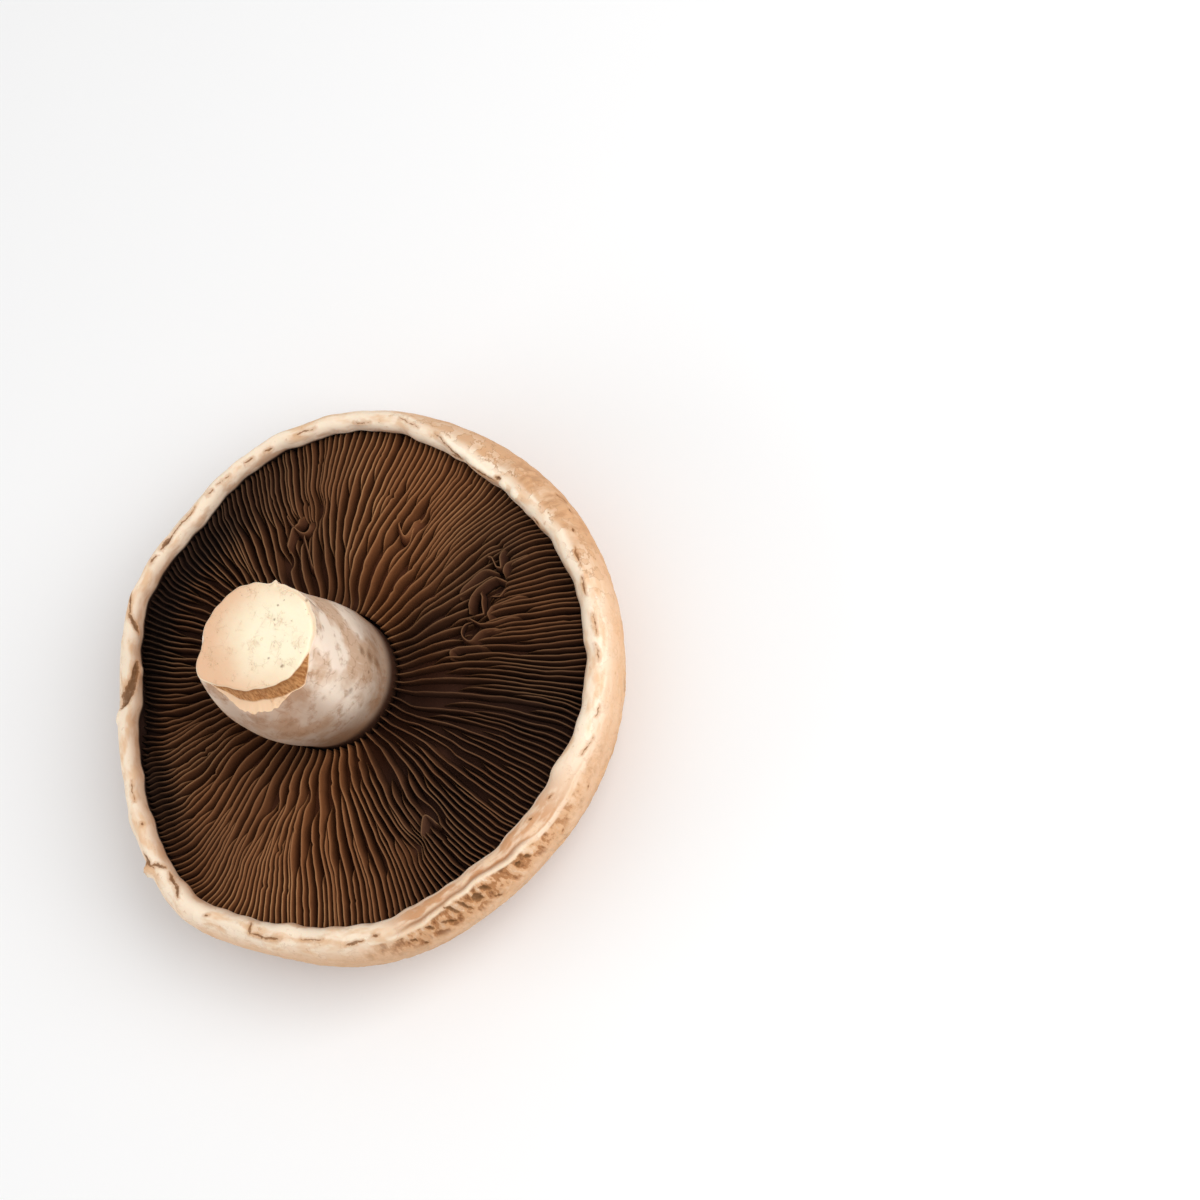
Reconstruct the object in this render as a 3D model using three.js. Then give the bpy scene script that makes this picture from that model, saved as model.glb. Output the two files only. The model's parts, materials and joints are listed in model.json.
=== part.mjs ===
// A picked portobello mushroom lying on the crown of its cap, with its gills and cut stem facing up.
// Millimetres, +Z up. The cap's axis is the Z axis while the pieces are made, and the origin is then
// moved to the middle of the mushroom's box, on the surface it rests on.
// The mushroom grew as one body of three tissues, which differ in colour: the cap with its rolled
// margin, the ring of brown gills in the cap's bowl, and the pale stem that was cut across.

import * as THREE from "three";
import { mergeVertices } from "three/addons/utils/BufferGeometryUtils.js";

// The cap: its widest radius and the height of that, the crest of its margin, and the flat spot on
// the crown that it rests on.
const CAP_RADIUS = 60.5;
const WIDEST_HEIGHT = 20;
const CREST_HEIGHT = 28.5;
const RESTING_RADIUS = 16;
const SKIN_LUMP = 0.55;

// The rolled margin: its width in plan, the radius it is rolled to, the groove along it, how far it
// hangs over the gills' ends, and how far down its inner side goes before the bowl's wall.
const MARGIN_WIDTH = 6.3;
const LIP_RADIUS = 2.7;
const LIP_GROOVE = 0.7;
const LIP_OVERHANG = 1.2;
const LIP_DEPTH = 5;

// The thickness of the flesh under the stem, and the height of the bowl's floor at the margin.
const FLESH_CENTRE = 13.7;
const FLESH_EDGE = 19.5;
const BOWL_CURVE = 1.6;

// The stem: where it grows from, and the knife's cut across it.
const STEM_ROOT = { x: -1.0, y: 7.5 };
const STEM_RADIUS = 15;
const CUT_CENTRE = { x: -0.6, y: 7.6 };
const CUT_HEIGHT = 55;
const CUT_RADIUS = 12;
const CUT_DOME = 0.2;

// The ledge beside the cut face, where the outer flesh tore off: from and to in degrees.
const LEDGE_FROM = 144;
const LEDGE_FULL = 184;
const LEDGE_ENDS = 258;
const LEDGE_GONE = 272;
const LEDGE_DROP = 4;
const LEDGE_WIDTH = 2.9;
const TORN_SLOPE = 0.9;

// The gills: long ones reach from stem to margin, with a short one between each two.
const LONG_GILLS = 48;
const GILL_CREST = 25.4;
const GILL_DEPTH = 5.6;
const DIP_AT_STEM = 4.6;
const DIP_AT_MARGIN = 2.6;
const GILL_SAG = 0.5;
const SHORT_GILLS_START = 0.3;
const SHORT_GILLS_FULL = 0.5;

// Shares of the space that one gill has: half its blade's edge, and the slope on each side of it.
const HALF_BLADE = 0.17;
const BLADE_SLOPE = 0.16;

// Thin gaps that part the three bodies.
const GAP = 0.35;
const STEM_GAP = 0.7;

// How finely the round shapes are divided.
const AROUND_CAP = 108;
const AROUND_STEM = 44;
const CROWN_STEPS = 7;
const GILL_STEPS = 9;

const TURN = Math.PI * 2;
const QUARTER = Math.PI / 2;

// Swellings and dents round the cap: [angle in degrees, half width in degrees, height in mm].
const OUTLINE_SWELLS = [
  [34, 30, 1.9],
  [128, 24, -4.4],
  [171, 12, 2.0],
  [196, 14, -0.9],
  [252, 24, -0.9],
  [330, 26, 0.6],
];
const MARGIN_SWELLS = [
  [345, 28, 1.1],
  [47, 24, -2.0],
  [98, 16, 0.8],
  [136, 18, -1.5],
  [236, 34, 1.4],
];
const CREST_SWELLS = [
  [20, 26, 0.7],
  [75, 20, -0.8],
  [128, 16, 0.9],
  [172, 18, -0.7],
  [230, 30, 0.5],
  [300, 22, -0.7],
];

const mix = THREE.MathUtils.lerp;
const smooth = THREE.MathUtils.smoothstep;

// A size with soft swellings round the cap, at an angle in radians.
function swell(base, bumps, angle) {
  const degrees = THREE.MathUtils.radToDeg(angle);
  let size = base;
  for (const [centre, width, height] of bumps) {
    const apart = THREE.MathUtils.euclideanModulo(degrees - centre + 180, 360) - 180;
    size += height * Math.exp(-((apart / width) ** 2));
  }
  return size;
}

const capRadius = (angle) => swell(CAP_RADIUS, OUTLINE_SWELLS, angle);
const marginWidth = (angle) => swell(MARGIN_WIDTH, MARGIN_SWELLS, angle);
const crestHeight = (angle) => swell(CREST_HEIGHT, CREST_SWELLS, angle);
const lipRadius = (angle) => capRadius(angle) - marginWidth(angle);
const crestRadius = (angle) => lipRadius(angle) + LIP_RADIUS;

const polar = (x, y, reach, angle, height) => [
  x + reach * Math.cos(angle),
  y + reach * Math.sin(angle),
  height,
];

// A point in the bowl, between the stem's root (share 0) and the wall behind the lip (share 1).
function inBowl(share, angle, height, inset = 0) {
  const wall = lipRadius(angle) + LIP_OVERHANG;
  const reach = mix(STEM_RADIUS + STEM_GAP, wall, share) - inset;
  return polar(STEM_ROOT.x * (1 - share), STEM_ROOT.y * (1 - share), reach, angle, height);
}

const bowlFloor = (share) => mix(FLESH_CENTRE, FLESH_EDGE, share ** BOWL_CURVE);

// Turns a profile with a lathe, which gives the closed surface, then sets each of its vertices by
// place(row, angle), which gives its shape. Rows run from the crown outwards and over the margin.
function shapedRevolution(rows, columns, closed, place) {
  const profile = [];
  for (let row = 0; row < rows; row += 1) profile.push(new THREE.Vector2(1, row));
  if (closed) profile.push(new THREE.Vector2(1, 0));
  const geometry = new THREE.LatheGeometry(profile, columns);
  const position = geometry.getAttribute("position");
  for (let i = 0; i < position.count; i += 1) {
    const column = Math.floor(i / profile.length) % columns;
    const row = (i % profile.length) % rows;
    position.setXYZ(i, ...place(row, column));
  }
  geometry.deleteAttribute("normal");
  geometry.deleteAttribute("uv");
  return withoutFlatFaces(mergeVertices(geometry, 1e-5));
}

// Drops the triangles that a pole has shrunk to a line.
function withoutFlatFaces(geometry) {
  const index = geometry.getIndex().array;
  const kept = [];
  for (let i = 0; i < index.length; i += 3) {
    const [a, b, c] = index.subarray(i, i + 3);
    if (a !== b && b !== c && c !== a) kept.push(a, b, c);
  }
  geometry.setIndex(kept);
  geometry.computeVertexNormals();
  return geometry;
}

// The skin isn't quite even: broad, shallow lumps that fade out at the resting spot and the margin.
function skinLump(height, angle, radius) {
  const fade = Math.sin((Math.PI * height) / WIDEST_HEIGHT);
  const waves = Math.sin(3 * angle + 0.08 * radius) + 0.7 * Math.sin(5 * angle - 0.11 * radius + 2);
  return SKIN_LUMP * fade * waves;
}

// The cap: crown, side, rolled margin with a groove along it, and the bowl that holds the gills.
function capGeometry() {
  const rows = [() => [0, 0, 0], (angle) => polar(0, 0, RESTING_RADIUS, angle, 0)];
  for (let step = 1; step <= CROWN_STEPS; step += 1) {
    const turn = (step / CROWN_STEPS) * QUARTER;
    const height = WIDEST_HEIGHT * (1 - Math.cos(turn));
    rows.push((angle) => {
      const reach = mix(RESTING_RADIUS, capRadius(angle), Math.sin(turn));
      return polar(0, 0, reach + skinLump(height, angle, reach), angle, height);
    });
  }
  // Up the side to the crest, in shares of a quarter turn.
  for (const share of [0.3, 0.6, 0.85]) {
    const turn = share * QUARTER;
    rows.push((angle) => {
      const reach = mix(crestRadius(angle), capRadius(angle), Math.cos(turn));
      return polar(0, 0, reach, angle, mix(WIDEST_HEIGHT, crestHeight(angle), Math.sin(turn)));
    });
  }
  // Over the lip: [share of a quarter turn, depth of the groove there].
  const lip = [[0, 0], [0.25, LIP_GROOVE], [0.45, 0], [0.8, 0], [1.15, 0], [1.5, 0]];
  for (const [share, groove] of lip) {
    const turn = share * QUARTER;
    const radius = LIP_RADIUS - groove;
    rows.push((angle) => {
      const reach = crestRadius(angle) - radius * Math.sin(turn);
      return polar(0, 0, reach, angle, crestHeight(angle) - LIP_RADIUS + radius * Math.cos(turn));
    });
  }
  // Down behind the gills' ends, and across the bowl to the stem's root.
  rows.push((angle) => inBowl(1, angle, crestHeight(angle) - LIP_DEPTH));
  for (const share of [1, 0.75, 0.5, 0.25, 0]) {
    rows.push((angle) => inBowl(share, angle, bowlFloor(share)));
  }
  rows.push(() => [STEM_ROOT.x, STEM_ROOT.y, FLESH_CENTRE]);
  const place = (row, column) => rows[row]((column / AROUND_CAP) * TURN);
  return shapedRevolution(rows.length, AROUND_CAP, false, place);
}

// The height of the gills' edges: low round the stem, and turned down again at the margin.
function edgeHeight(share, angle) {
  const atStem = DIP_AT_STEM * (1 - smooth(share, 0, 0.3));
  const atMargin = DIP_AT_MARGIN * smooth(share, 0.72, 1);
  const sag = GILL_SAG * Math.sin(3 * angle + 1.1) * Math.sin(Math.PI * share);
  return GILL_CREST - atStem - atMargin + sag;
}

// Gills don't run straight: neighbours sway together. The result is an angle.
function gillSway(share, angle) {
  const broad = 1.5 * Math.sin(5.2 * share + 2 * Math.sin(angle) + 0.6) * Math.sin(2 * angle + 0.9);
  const fine = 0.7 * Math.sin(10.5 * share + 3 * angle) * Math.cos(angle - 0.7);
  return ((broad + fine) * smooth(share, 0, 0.2)) / mix(STEM_RADIUS, CAP_RADIUS, share);
}

// The gills: one ring with radial blades raised from it. Four columns make a gill: the foot and the
// edge of one side of its blade, then the edge and the foot of the other.
function gillGeometry() {
  const gills = LONG_GILLS * 2;
  const pitch = TURN / gills;
  const foot = HALF_BLADE + BLADE_SLOPE;
  const across = [-foot, -HALF_BLADE, HALF_BLADE, foot];
  const underside = [0, 0.5, 1];

  const place = (row, column) => {
    const gill = Math.floor(column / across.length);
    const part = column % across.length;
    const middle = (gill + 0.5) * pitch;
    if (row < underside.length) {
      const share = underside[row];
      const angle = middle + across[part] * pitch + gillSway(share, middle);
      return inBowl(share, angle, bowlFloor(share) + GAP, share * GAP);
    }
    const share = 1 - (row - underside.length) / GILL_STEPS;
    // A short gill rises part of the way out, and a long one takes its room nearer the stem.
    const grown = smooth(share, SHORT_GILLS_START, SHORT_GILLS_FULL);
    const short = gill % 2 === 1;
    const width = mix(short ? 0.3 : 1.6, 1, grown);
    const angle = middle + across[part] * pitch * width + gillSway(share, middle);
    const depth = GILL_DEPTH * (0.55 + 0.45 * Math.sin(Math.PI * share));
    const edge = part === 1 || part === 2;
    const rise = edge ? (short ? grown : 1) : 0;
    return inBowl(share, angle, edgeHeight(share, middle) - depth * (1 - rise), share * GAP);
  };
  const rows = underside.length + GILL_STEPS + 1;
  return shapedRevolution(rows, gills * across.length, true, place);
}

// 1 on the torn ledge, 0 on the side where the cut face reaches the skin.
function onLedge(angle) {
  const degrees = THREE.MathUtils.radToDeg(angle);
  return smooth(degrees, LEDGE_FROM, LEDGE_FULL) * (1 - smooth(degrees, LEDGE_ENDS, LEDGE_GONE));
}

// The stem: a stout, slightly leaning trunk. The knife left a raised face, and beside it a ledge
// where the outer flesh tore off lower down.
function stemGeometry() {
  const base = FLESH_CENTRE + GAP;
  // [height, middle x, middle y, radius]
  const trunk = [
    [base, STEM_ROOT.x, STEM_ROOT.y, STEM_RADIUS - 0.6],
    [19, STEM_ROOT.x, STEM_ROOT.y, STEM_RADIUS],
    [25, -1.5, 7.5, 15.3],
    [32, -2.0, 7.4, 15.6],
    [39, -2.3, 7.4, 15.5],
    [45, -2.2, 7.4, 14.9],
    [49, -1.8, 7.5, 14.2],
  ];
  const uneven = (angle, height) =>
    (0.35 * Math.sin(3 * angle + 0.05 * height) + 0.25 * Math.sin(5 * angle + 1.3)) *
    smooth(height, 20, 26);
  const faceRadius = (angle) => CUT_RADIUS + 0.35 * Math.sin(4 * angle + 0.5);

  const rows = [() => [STEM_ROOT.x, STEM_ROOT.y, base]];
  for (const [height, x, y, radius] of trunk) {
    rows.push((angle) => polar(x, y, radius + uneven(angle, height), angle, height));
  }
  const onCut = (extra, drop) => (angle) =>
    polar(CUT_CENTRE.x, CUT_CENTRE.y, faceRadius(angle) + extra(angle), angle, CUT_HEIGHT - drop(angle));
  rows.push(
    // The skin's edge, the foot of the torn wall, and the edge of the face above it.
    onCut((angle) => 0.5 + LEDGE_WIDTH * onLedge(angle), (angle) => 0.7 + LEDGE_DROP * onLedge(angle)),
    onCut((angle) => 0.2 + TORN_SLOPE * onLedge(angle), (angle) => 0.3 + LEDGE_DROP * onLedge(angle)),
    onCut(() => 0, () => 0),
    // The face is cut a little domed.
    (angle) => polar(CUT_CENTRE.x, CUT_CENTRE.y, CUT_RADIUS / 2, angle, CUT_HEIGHT + CUT_DOME * 0.75),
    () => [CUT_CENTRE.x, CUT_CENTRE.y, CUT_HEIGHT + CUT_DOME],
  );
  const place = (row, column) => rows[row]((column / AROUND_STEM) * TURN);
  return shapedRevolution(rows.length, AROUND_STEM, false, place);
}

function piece(name, geometry, color, roughness) {
  const material = new THREE.MeshStandardMaterial({ color, roughness, metalness: 0 });
  const mesh = new THREE.Mesh(geometry, material);
  mesh.name = name;
  return mesh;
}

const mushroom = new THREE.Group();
mushroom.add(
  piece("cap", capGeometry(), 0xd9b48c, 0.75),
  piece("gills", gillGeometry(), 0x4a2c1a, 0.85),
  piece("stem", stemGeometry(), 0xe3cdb2, 0.7),
);

const box = new THREE.Box3().setFromObject(mushroom);
const middle = box.getCenter(new THREE.Vector3());
mushroom.position.set(-middle.x, -middle.y, -box.min.z);

export default mushroom;
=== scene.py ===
# %% [markdown]
# A portobello mushroom, lying on the crown of its cap
#
# A picked portobello is shown with its gills up. Its plain solids are already made, at their real
# size, and this lesson dresses them: a skin with its scales, a rolled margin, some 250 thin gills,
# and a stem with the marks of the knife. Everything is in metres, but sizes are written in
# millimetres and multiplied by MM, because a mushroom is easier to think about that way.

# %% Load the frame
import json
import math

import bpy
import numpy as np
from mathutils import Matrix, Vector


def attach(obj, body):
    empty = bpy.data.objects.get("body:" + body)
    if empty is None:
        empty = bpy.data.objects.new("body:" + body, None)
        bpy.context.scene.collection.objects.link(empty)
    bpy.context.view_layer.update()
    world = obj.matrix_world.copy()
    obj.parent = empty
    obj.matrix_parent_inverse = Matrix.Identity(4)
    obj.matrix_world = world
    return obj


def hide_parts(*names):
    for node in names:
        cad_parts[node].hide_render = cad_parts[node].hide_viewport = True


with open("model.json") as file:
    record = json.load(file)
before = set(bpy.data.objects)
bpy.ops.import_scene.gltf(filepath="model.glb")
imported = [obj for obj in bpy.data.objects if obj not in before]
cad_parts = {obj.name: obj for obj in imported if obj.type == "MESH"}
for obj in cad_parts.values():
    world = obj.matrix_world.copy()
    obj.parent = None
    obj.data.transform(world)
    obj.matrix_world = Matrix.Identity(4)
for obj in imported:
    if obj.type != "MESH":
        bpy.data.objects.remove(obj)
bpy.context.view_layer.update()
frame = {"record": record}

MM = 0.001
record = frame["record"]
# The cap's axis stands on the spot that the mushroom rests on.
AXIS = Vector(record["mounts"][0]["pos_m"])

# %% [markdown]
# The shape of the cap, as a rule
#
# A cap is nearly round, and what makes it look grown rather than turned are a few soft swellings
# and dents. One way would be to trace an outline with many points. Here a size is a base value with
# bell-shaped bumps, each with its angle, width and height, so the cap can be read and changed by
# hand. The margin's width and the height of its crest follow the same rule.

# %% The cap's rule
CAP_RADIUS = 60.5
WIDEST_HEIGHT = 20
CREST_HEIGHT = 28.5
RESTING_RADIUS = 16
SKIN_LUMP = 0.55
MARGIN_WIDTH = 6.3
LIP_RADIUS = 2.7
LIP_OVERHANG = 1.2
LIP_DEPTH = 5
LIP_TURN = 0.75 * math.pi
FLESH_CENTRE = 13.7
FLESH_EDGE = 19.5
BOWL_CURVE = 1.6

# Each bump: [angle in degrees, half width in degrees, height in mm].
OUTLINE_SWELLS = [
    (34, 30, 1.9), (128, 24, -4.4), (171, 12, 2.0), (196, 14, -0.9), (252, 24, -0.9), (330, 26, 0.6),
]
MARGIN_SWELLS = [
    (345, 28, 1.1), (47, 24, -2.0), (97, 16, -1.5), (136, 18, -1.2), (236, 34, 1.4),
    (118, 10, 1.2), (296, 20, -0.8), (353, 12, 1.0), (44, 12, 0.6),
]
CREST_SWELLS = [
    (20, 26, 0.7), (75, 20, -0.8), (128, 16, 0.9), (172, 18, -0.7), (230, 30, 0.5), (300, 22, -0.7),
]


def swell(base, bumps, turn):
    """A size with soft swellings round the cap, at angles in radians."""
    degrees = np.degrees(turn)
    size = np.full_like(degrees, float(base))
    for centre, width, height in bumps:
        apart = (degrees - centre + 180) % 360 - 180
        size += height * np.exp(-((apart / width) ** 2))
    return size


def cap_radius(turn):
    return swell(CAP_RADIUS, OUTLINE_SWELLS, turn)


def lip_radius(turn):
    return cap_radius(turn) - swell(MARGIN_WIDTH, MARGIN_SWELLS, turn)


def crest_height(turn):
    return swell(CREST_HEIGHT, CREST_SWELLS, turn)


def smooth(value, low, high):
    """0 below low, 1 above high, and a smooth step between them."""
    share = np.clip((np.asarray(value, float) - low) / (high - low), 0, 1)
    return share * share * (3 - 2 * share)


def mix(a, b, share):
    return a + (b - a) * share


print("widest radius, mm:", round(float(cap_radius(np.radians(np.arange(360))).max()), 1))

# %% [markdown]
# A surface from rows of points
#
# Cap, stem and the bed of the gills are all closed surfaces that run round an axis. Spin or Screw
# could turn a profile, but here the profile changes with the angle. So a function takes the points
# of each row at each angle and joins them with quads, closing each end at a pole, or the last row
# on the first for a ring.

# %% Rows to mesh
def closed_surface(name, rows, ring=False):
    """rows is an array [row, column, xyz] in mm about the cap's axis. The ends close at a pole."""
    rows = np.asarray(rows, float)
    count, columns = rows.shape[:2]
    points = rows.reshape(-1, 3)
    column = np.arange(columns)
    after = (column + 1) % columns
    quads = []
    for row in range(count if ring else count - 1):
        low = row * columns
        high = ((row + 1) % count) * columns
        quads.append(np.stack([low + column, low + after, high + after, high + column], 1))
    faces = np.concatenate(quads).tolist()
    if not ring:
        first, last = len(points), len(points) + 1
        points = np.concatenate([points, rows[0].mean(0)[None], rows[-1].mean(0)[None]])
        top = (count - 1) * columns
        faces += [(first, int(b), int(a)) for a, b in zip(column, after)]
        faces += [(last, int(top + a), int(top + b)) for a, b in zip(column, after)]
    mesh = bpy.data.meshes.new(name)
    mesh.from_pydata((points * MM + np.array(AXIS)).tolist(), [], faces)
    mesh.polygons.foreach_set("use_smooth", np.ones(len(mesh.polygons), bool))
    mesh.update()
    piece = bpy.data.objects.new(name, mesh)
    bpy.context.scene.collection.objects.link(piece)
    return piece


def polar(x, y, reach, turn, height):
    """Points at a reach and an angle about a middle, at a height, as [..., xyz]."""
    return np.stack(np.broadcast_arrays(x + reach * np.cos(turn), y + reach * np.sin(turn), height), -1)


def keep_value(piece, name, values):
    """Stores a number on each point of a piece, for its material and its relief to read."""
    attribute = piece.data.attributes.new(name, "FLOAT", "POINT")
    attribute.data.foreach_set("value", np.asarray(values, np.float32))


# %% [markdown]
# Writing node trees as sums
#
# Node trees are easiest to read as the sums that they stand for. A Wire is one output of a node, and
# adding or multiplying Wires adds the Math node that does it. A Graph makes every other node from
# one call. Shader and geometry trees share most of their nodes, so a pattern that is written once
# can raise the skin in a geometry tree and colour it in a material, and the two fall together.

# %% Wires and graphs
class Wire:
    """One output of a node, used in a sum like a number."""

    def __init__(self, graph, socket):
        self.graph = graph
        self.socket = socket

    def __add__(self, other):
        return self.graph.math("ADD", self, other)

    def __sub__(self, other):
        return self.graph.math("SUBTRACT", self, other)

    def __rsub__(self, other):
        return self.graph.math("SUBTRACT", other, self)

    def __mul__(self, other):
        return self.graph.math("MULTIPLY", self, other)

    def __truediv__(self, other):
        return self.graph.math("DIVIDE", self, other)

    def __rtruediv__(self, other):
        return self.graph.math("DIVIDE", other, self)

    def __pow__(self, other):
        return self.graph.math("POWER", self, other)

    def __neg__(self):
        return self.graph.math("MULTIPLY", self, -1)

    __radd__ = __add__
    __rmul__ = __mul__

    def out(self, name):
        """Another output of the same node."""
        return Wire(self.graph, self.socket.node.outputs[name])


class Graph:
    """A node tree that is written as Python expressions."""

    def __init__(self, tree):
        self.tree = tree
        tree.nodes.clear()

    def add(self, kind, inputs=None, output=0, **settings):
        """Any node: its settings first, then the values or Wires of its sockets."""
        node = self.tree.nodes.new(kind)
        for name, value in settings.items():
            setattr(node, name, value)
        for name, value in (inputs or {}).items():
            if isinstance(value, Wire):
                self.tree.links.new(value.socket, node.inputs[name])
            else:
                node.inputs[name].default_value = value
        return Wire(self, node.outputs[output]) if node.outputs else node

    def math(self, operation, *values):
        return self.add("ShaderNodeMath", dict(enumerate(values)), operation=operation)

    def vector(self, operation, *values, output="Vector"):
        return self.add("ShaderNodeVectorMath", dict(enumerate(values)), output, operation=operation)

    def scaled(self, vector, factor):
        return self.add(
            "ShaderNodeVectorMath", {0: vector, "Scale": factor}, "Vector", operation="SCALE"
        )

    def join(self, x, y, z):
        return self.add("ShaderNodeCombineXYZ", {0: x, 1: y, 2: z})

    def split(self, vector):
        parts = self.add("ShaderNodeSeparateXYZ", {0: vector})
        return parts, parts.out("Y"), parts.out("Z")

    def step(self, value, low, high):
        """0 at low, 1 at high, and a smooth step between them. Low may be the larger one."""
        return self.add(
            "ShaderNodeMapRange",
            {"Value": value, "From Min": low, "From Max": high},
            interpolation_type="SMOOTHSTEP",
        )

    def blend(self, first, second, share):
        """One colour over another."""
        return self.add(
            "ShaderNodeMix", {0: share, 6: first, 7: second}, 2, data_type="RGBA", clamp_factor=True
        )

    def noise(self, place, size_mm, detail=2, rough=0.5, seed=0.0):
        """Smooth noise from 0 to 1, with lumps of about that size."""
        return self.add(
            "ShaderNodeTexNoise",
            {"Vector": place, "W": seed, "Scale": 1 / (size_mm * MM), "Detail": detail, "Roughness": rough},
            noise_dimensions="4D",
        )

    def bell(self, value, width):
        """1 where the value is 0, fading to 0 over the width."""
        share = value / width
        return self.math("EXPONENT", -(share * share))


# Takes the middle of a noise colour to zero.
HALF = (0.5, 0.5, 0.5)


def colour(red, green, blue):
    """A colour given as it looks on screen, 0 to 255, in the linear values that shaders use."""
    def linear(part):
        share = part / 255
        return share / 12.92 if share <= 0.04045 else ((share + 0.055) / 1.055) ** 2.4
    return (linear(red), linear(green), linear(blue), 1)


# %% [markdown]
# The pattern of the skin
#
# A portobello's skin tears into small scales as the cap grows: few on the crown, many on the dome,
# and none on the rolled margin. A Voronoi texture gives the cells. Each scale is lifted at its outer
# end, like a shingle. The texture is laid in skin coordinates, round the cap and out from the crown,
# so that the scales lie along the skin and can be stretched outwards. The same function serves the
# relief and the material.

# %% Scales
SCALE_SIZE = 2.5
SCALE_STRETCH = 0.6
# Noise pushes the cells about, so that no edge is straight.
PUSH_SCALE = 0.32
PUSH = 4.2


def skin_place(graph, place, from_crest, around, outwards):
    """A point on the skin, in mm round the cap and out from the crown, scaled in each way."""
    away = graph.vector("NORMALIZE", graph.vector("MULTIPLY", place, (1, 1, 0)))
    x, y, _ = graph.split(graph.scaled(away, CAP_RADIUS * around))
    return graph.join(x, y, from_crest * outwards)


def skin_scales(graph, place, from_crest):
    """(how far into a scale, lift of its outer end, tone of the scale), each from 0 to 1."""
    skin = skin_place(graph, place, from_crest, 1, SCALE_STRETCH)
    push = graph.add(
        "ShaderNodeTexNoise", {"Vector": skin, "Scale": PUSH_SCALE, "Detail": 3, "Roughness": 0.6}, "Color"
    )
    bent = graph.vector("ADD", skin, graph.scaled(graph.vector("SUBTRACT", push, HALF), PUSH))
    cells = {"Vector": bent, "Scale": 1 / SCALE_SIZE, "Randomness": 1.0}
    edge = graph.add("ShaderNodeTexVoronoi", cells, "Distance", feature="DISTANCE_TO_EDGE")
    cell = graph.add("ShaderNodeTexVoronoi", cells, "Distance", feature="F1")
    across = graph.split(graph.vector("SUBTRACT", bent, cell.out("Position")))[2]
    tone = graph.split(cell.out("Color"))[0]
    return graph.step(edge, 0.0, 0.3), graph.step(across / SCALE_SIZE + 0.45, 0.0, 1.0), tone


# %% [markdown]
# The cap
#
# The cap is one closed surface: crown, side, the margin rolled inwards with the torn remains of the
# veil along it, and the bowl under the gills. Sculpting would do it too, but a rule keeps it fitted
# to the solid. Every point keeps one number: its distance along the skin from the margin's crest,
# in mm, negative outside the crest. The relief and the colours both read it.

# %% Cap surface
CAP_COLUMNS = 576
CROWN_ROWS, DOME_ROWS, SIDE_ROWS, LIP_ROWS, BOWL_ROWS = 16, 78, 26, 30, 8
QUARTER = math.pi / 2
STEM_X, STEM_Y = -1.0, 7.5
STEM_RADIUS = 15
STEM_GAP = 0.7
GAP = 0.35


def bowl_floor(share):
    return mix(FLESH_CENTRE, FLESH_EDGE, share ** BOWL_CURVE)


def in_bowl(share, turn, height, inset=0.0):
    """A point in the bowl, between the stem's root (share 0) and the wall behind the lip (1)."""
    reach = mix(STEM_RADIUS + STEM_GAP, lip_radius(turn) + LIP_OVERHANG, share) - inset
    return polar(STEM_X * (1 - share), STEM_Y * (1 - share), reach, turn, height)


def waves(turn, *parts):
    """A sum of sines round the cap: (turns, height, phase) each."""
    return sum(height * np.sin(count * turn + phase) for count, height, phase in parts)


def cap_rows():
    turn = np.linspace(0, 2 * math.pi, CAP_COLUMNS, endpoint=False)
    outer, lip, crest = cap_radius(turn), lip_radius(turn), crest_height(turn)
    # The lip's inner edge and crest aren't quite even.
    lip = lip + waves(turn, (23, 0.16, 0.4), (37, 0.12, 2.0), (61, 0.09, 1.0), (11, 0.2, 3.0))
    crest = crest + waves(turn, (17, 0.12, 0.9), (29, 0.08, 2.2), (9, 0.15, 0.3))
    ridge = lip + LIP_RADIUS
    rows = []
    for step in range(1, CROWN_ROWS + 1):
        rows.append(polar(0, 0, RESTING_RADIUS * step / CROWN_ROWS, turn, 0))
    for step in range(1, DOME_ROWS + 1):
        angle = step / DOME_ROWS * QUARTER
        height = WIDEST_HEIGHT * (1 - math.cos(angle))
        reach = mix(RESTING_RADIUS, outer, math.sin(angle))
        fade = math.sin(math.pi * height / WIDEST_HEIGHT)
        lump = np.sin(3 * turn + 0.08 * reach) + 0.7 * np.sin(5 * turn - 0.11 * reach + 2)
        rows.append(polar(0, 0, reach + SKIN_LUMP * fade * lump, turn, height))
    for step in range(1, SIDE_ROWS + 1):
        angle = step / SIDE_ROWS * QUARTER
        reach = mix(ridge, outer, math.cos(angle))
        rows.append(polar(0, 0, reach, turn, mix(WIDEST_HEIGHT, crest, math.sin(angle))))
    for step in range(1, LIP_ROWS + 1):
        angle = step / LIP_ROWS * LIP_TURN
        reach = ridge - LIP_RADIUS * math.sin(angle)
        rows.append(polar(0, 0, reach, turn, crest - LIP_RADIUS * (1 - math.cos(angle))))
    rows.append(in_bowl(1, turn, crest - LIP_DEPTH))
    for share in np.linspace(1, 0, BOWL_ROWS):
        rows.append(in_bowl(share, turn, bowl_floor(share)))
    return np.array(rows), CROWN_ROWS + DOME_ROWS + SIDE_ROWS


def skin_distances(rows, crest_row):
    """Distance along the skin from the crest, negative outside it, for each point."""
    steps = np.linalg.norm(np.diff(rows, axis=0), axis=2)
    along = np.concatenate([np.zeros((1, rows.shape[1])), np.cumsum(steps, 0)])
    return along - along[crest_row - 1]


cap_points, crest_row = cap_rows()
cap = closed_surface("mushroom_cap", cap_points)
from_crest = skin_distances(cap_points, crest_row)
pole_values = [from_crest[0].mean() - RESTING_RADIUS / CROWN_ROWS, from_crest[-1].mean()]
keep_value(cap, "from_crest", np.concatenate([from_crest.ravel(), pole_values]))
print("cap faces:", len(cap.data.polygons))

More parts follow.
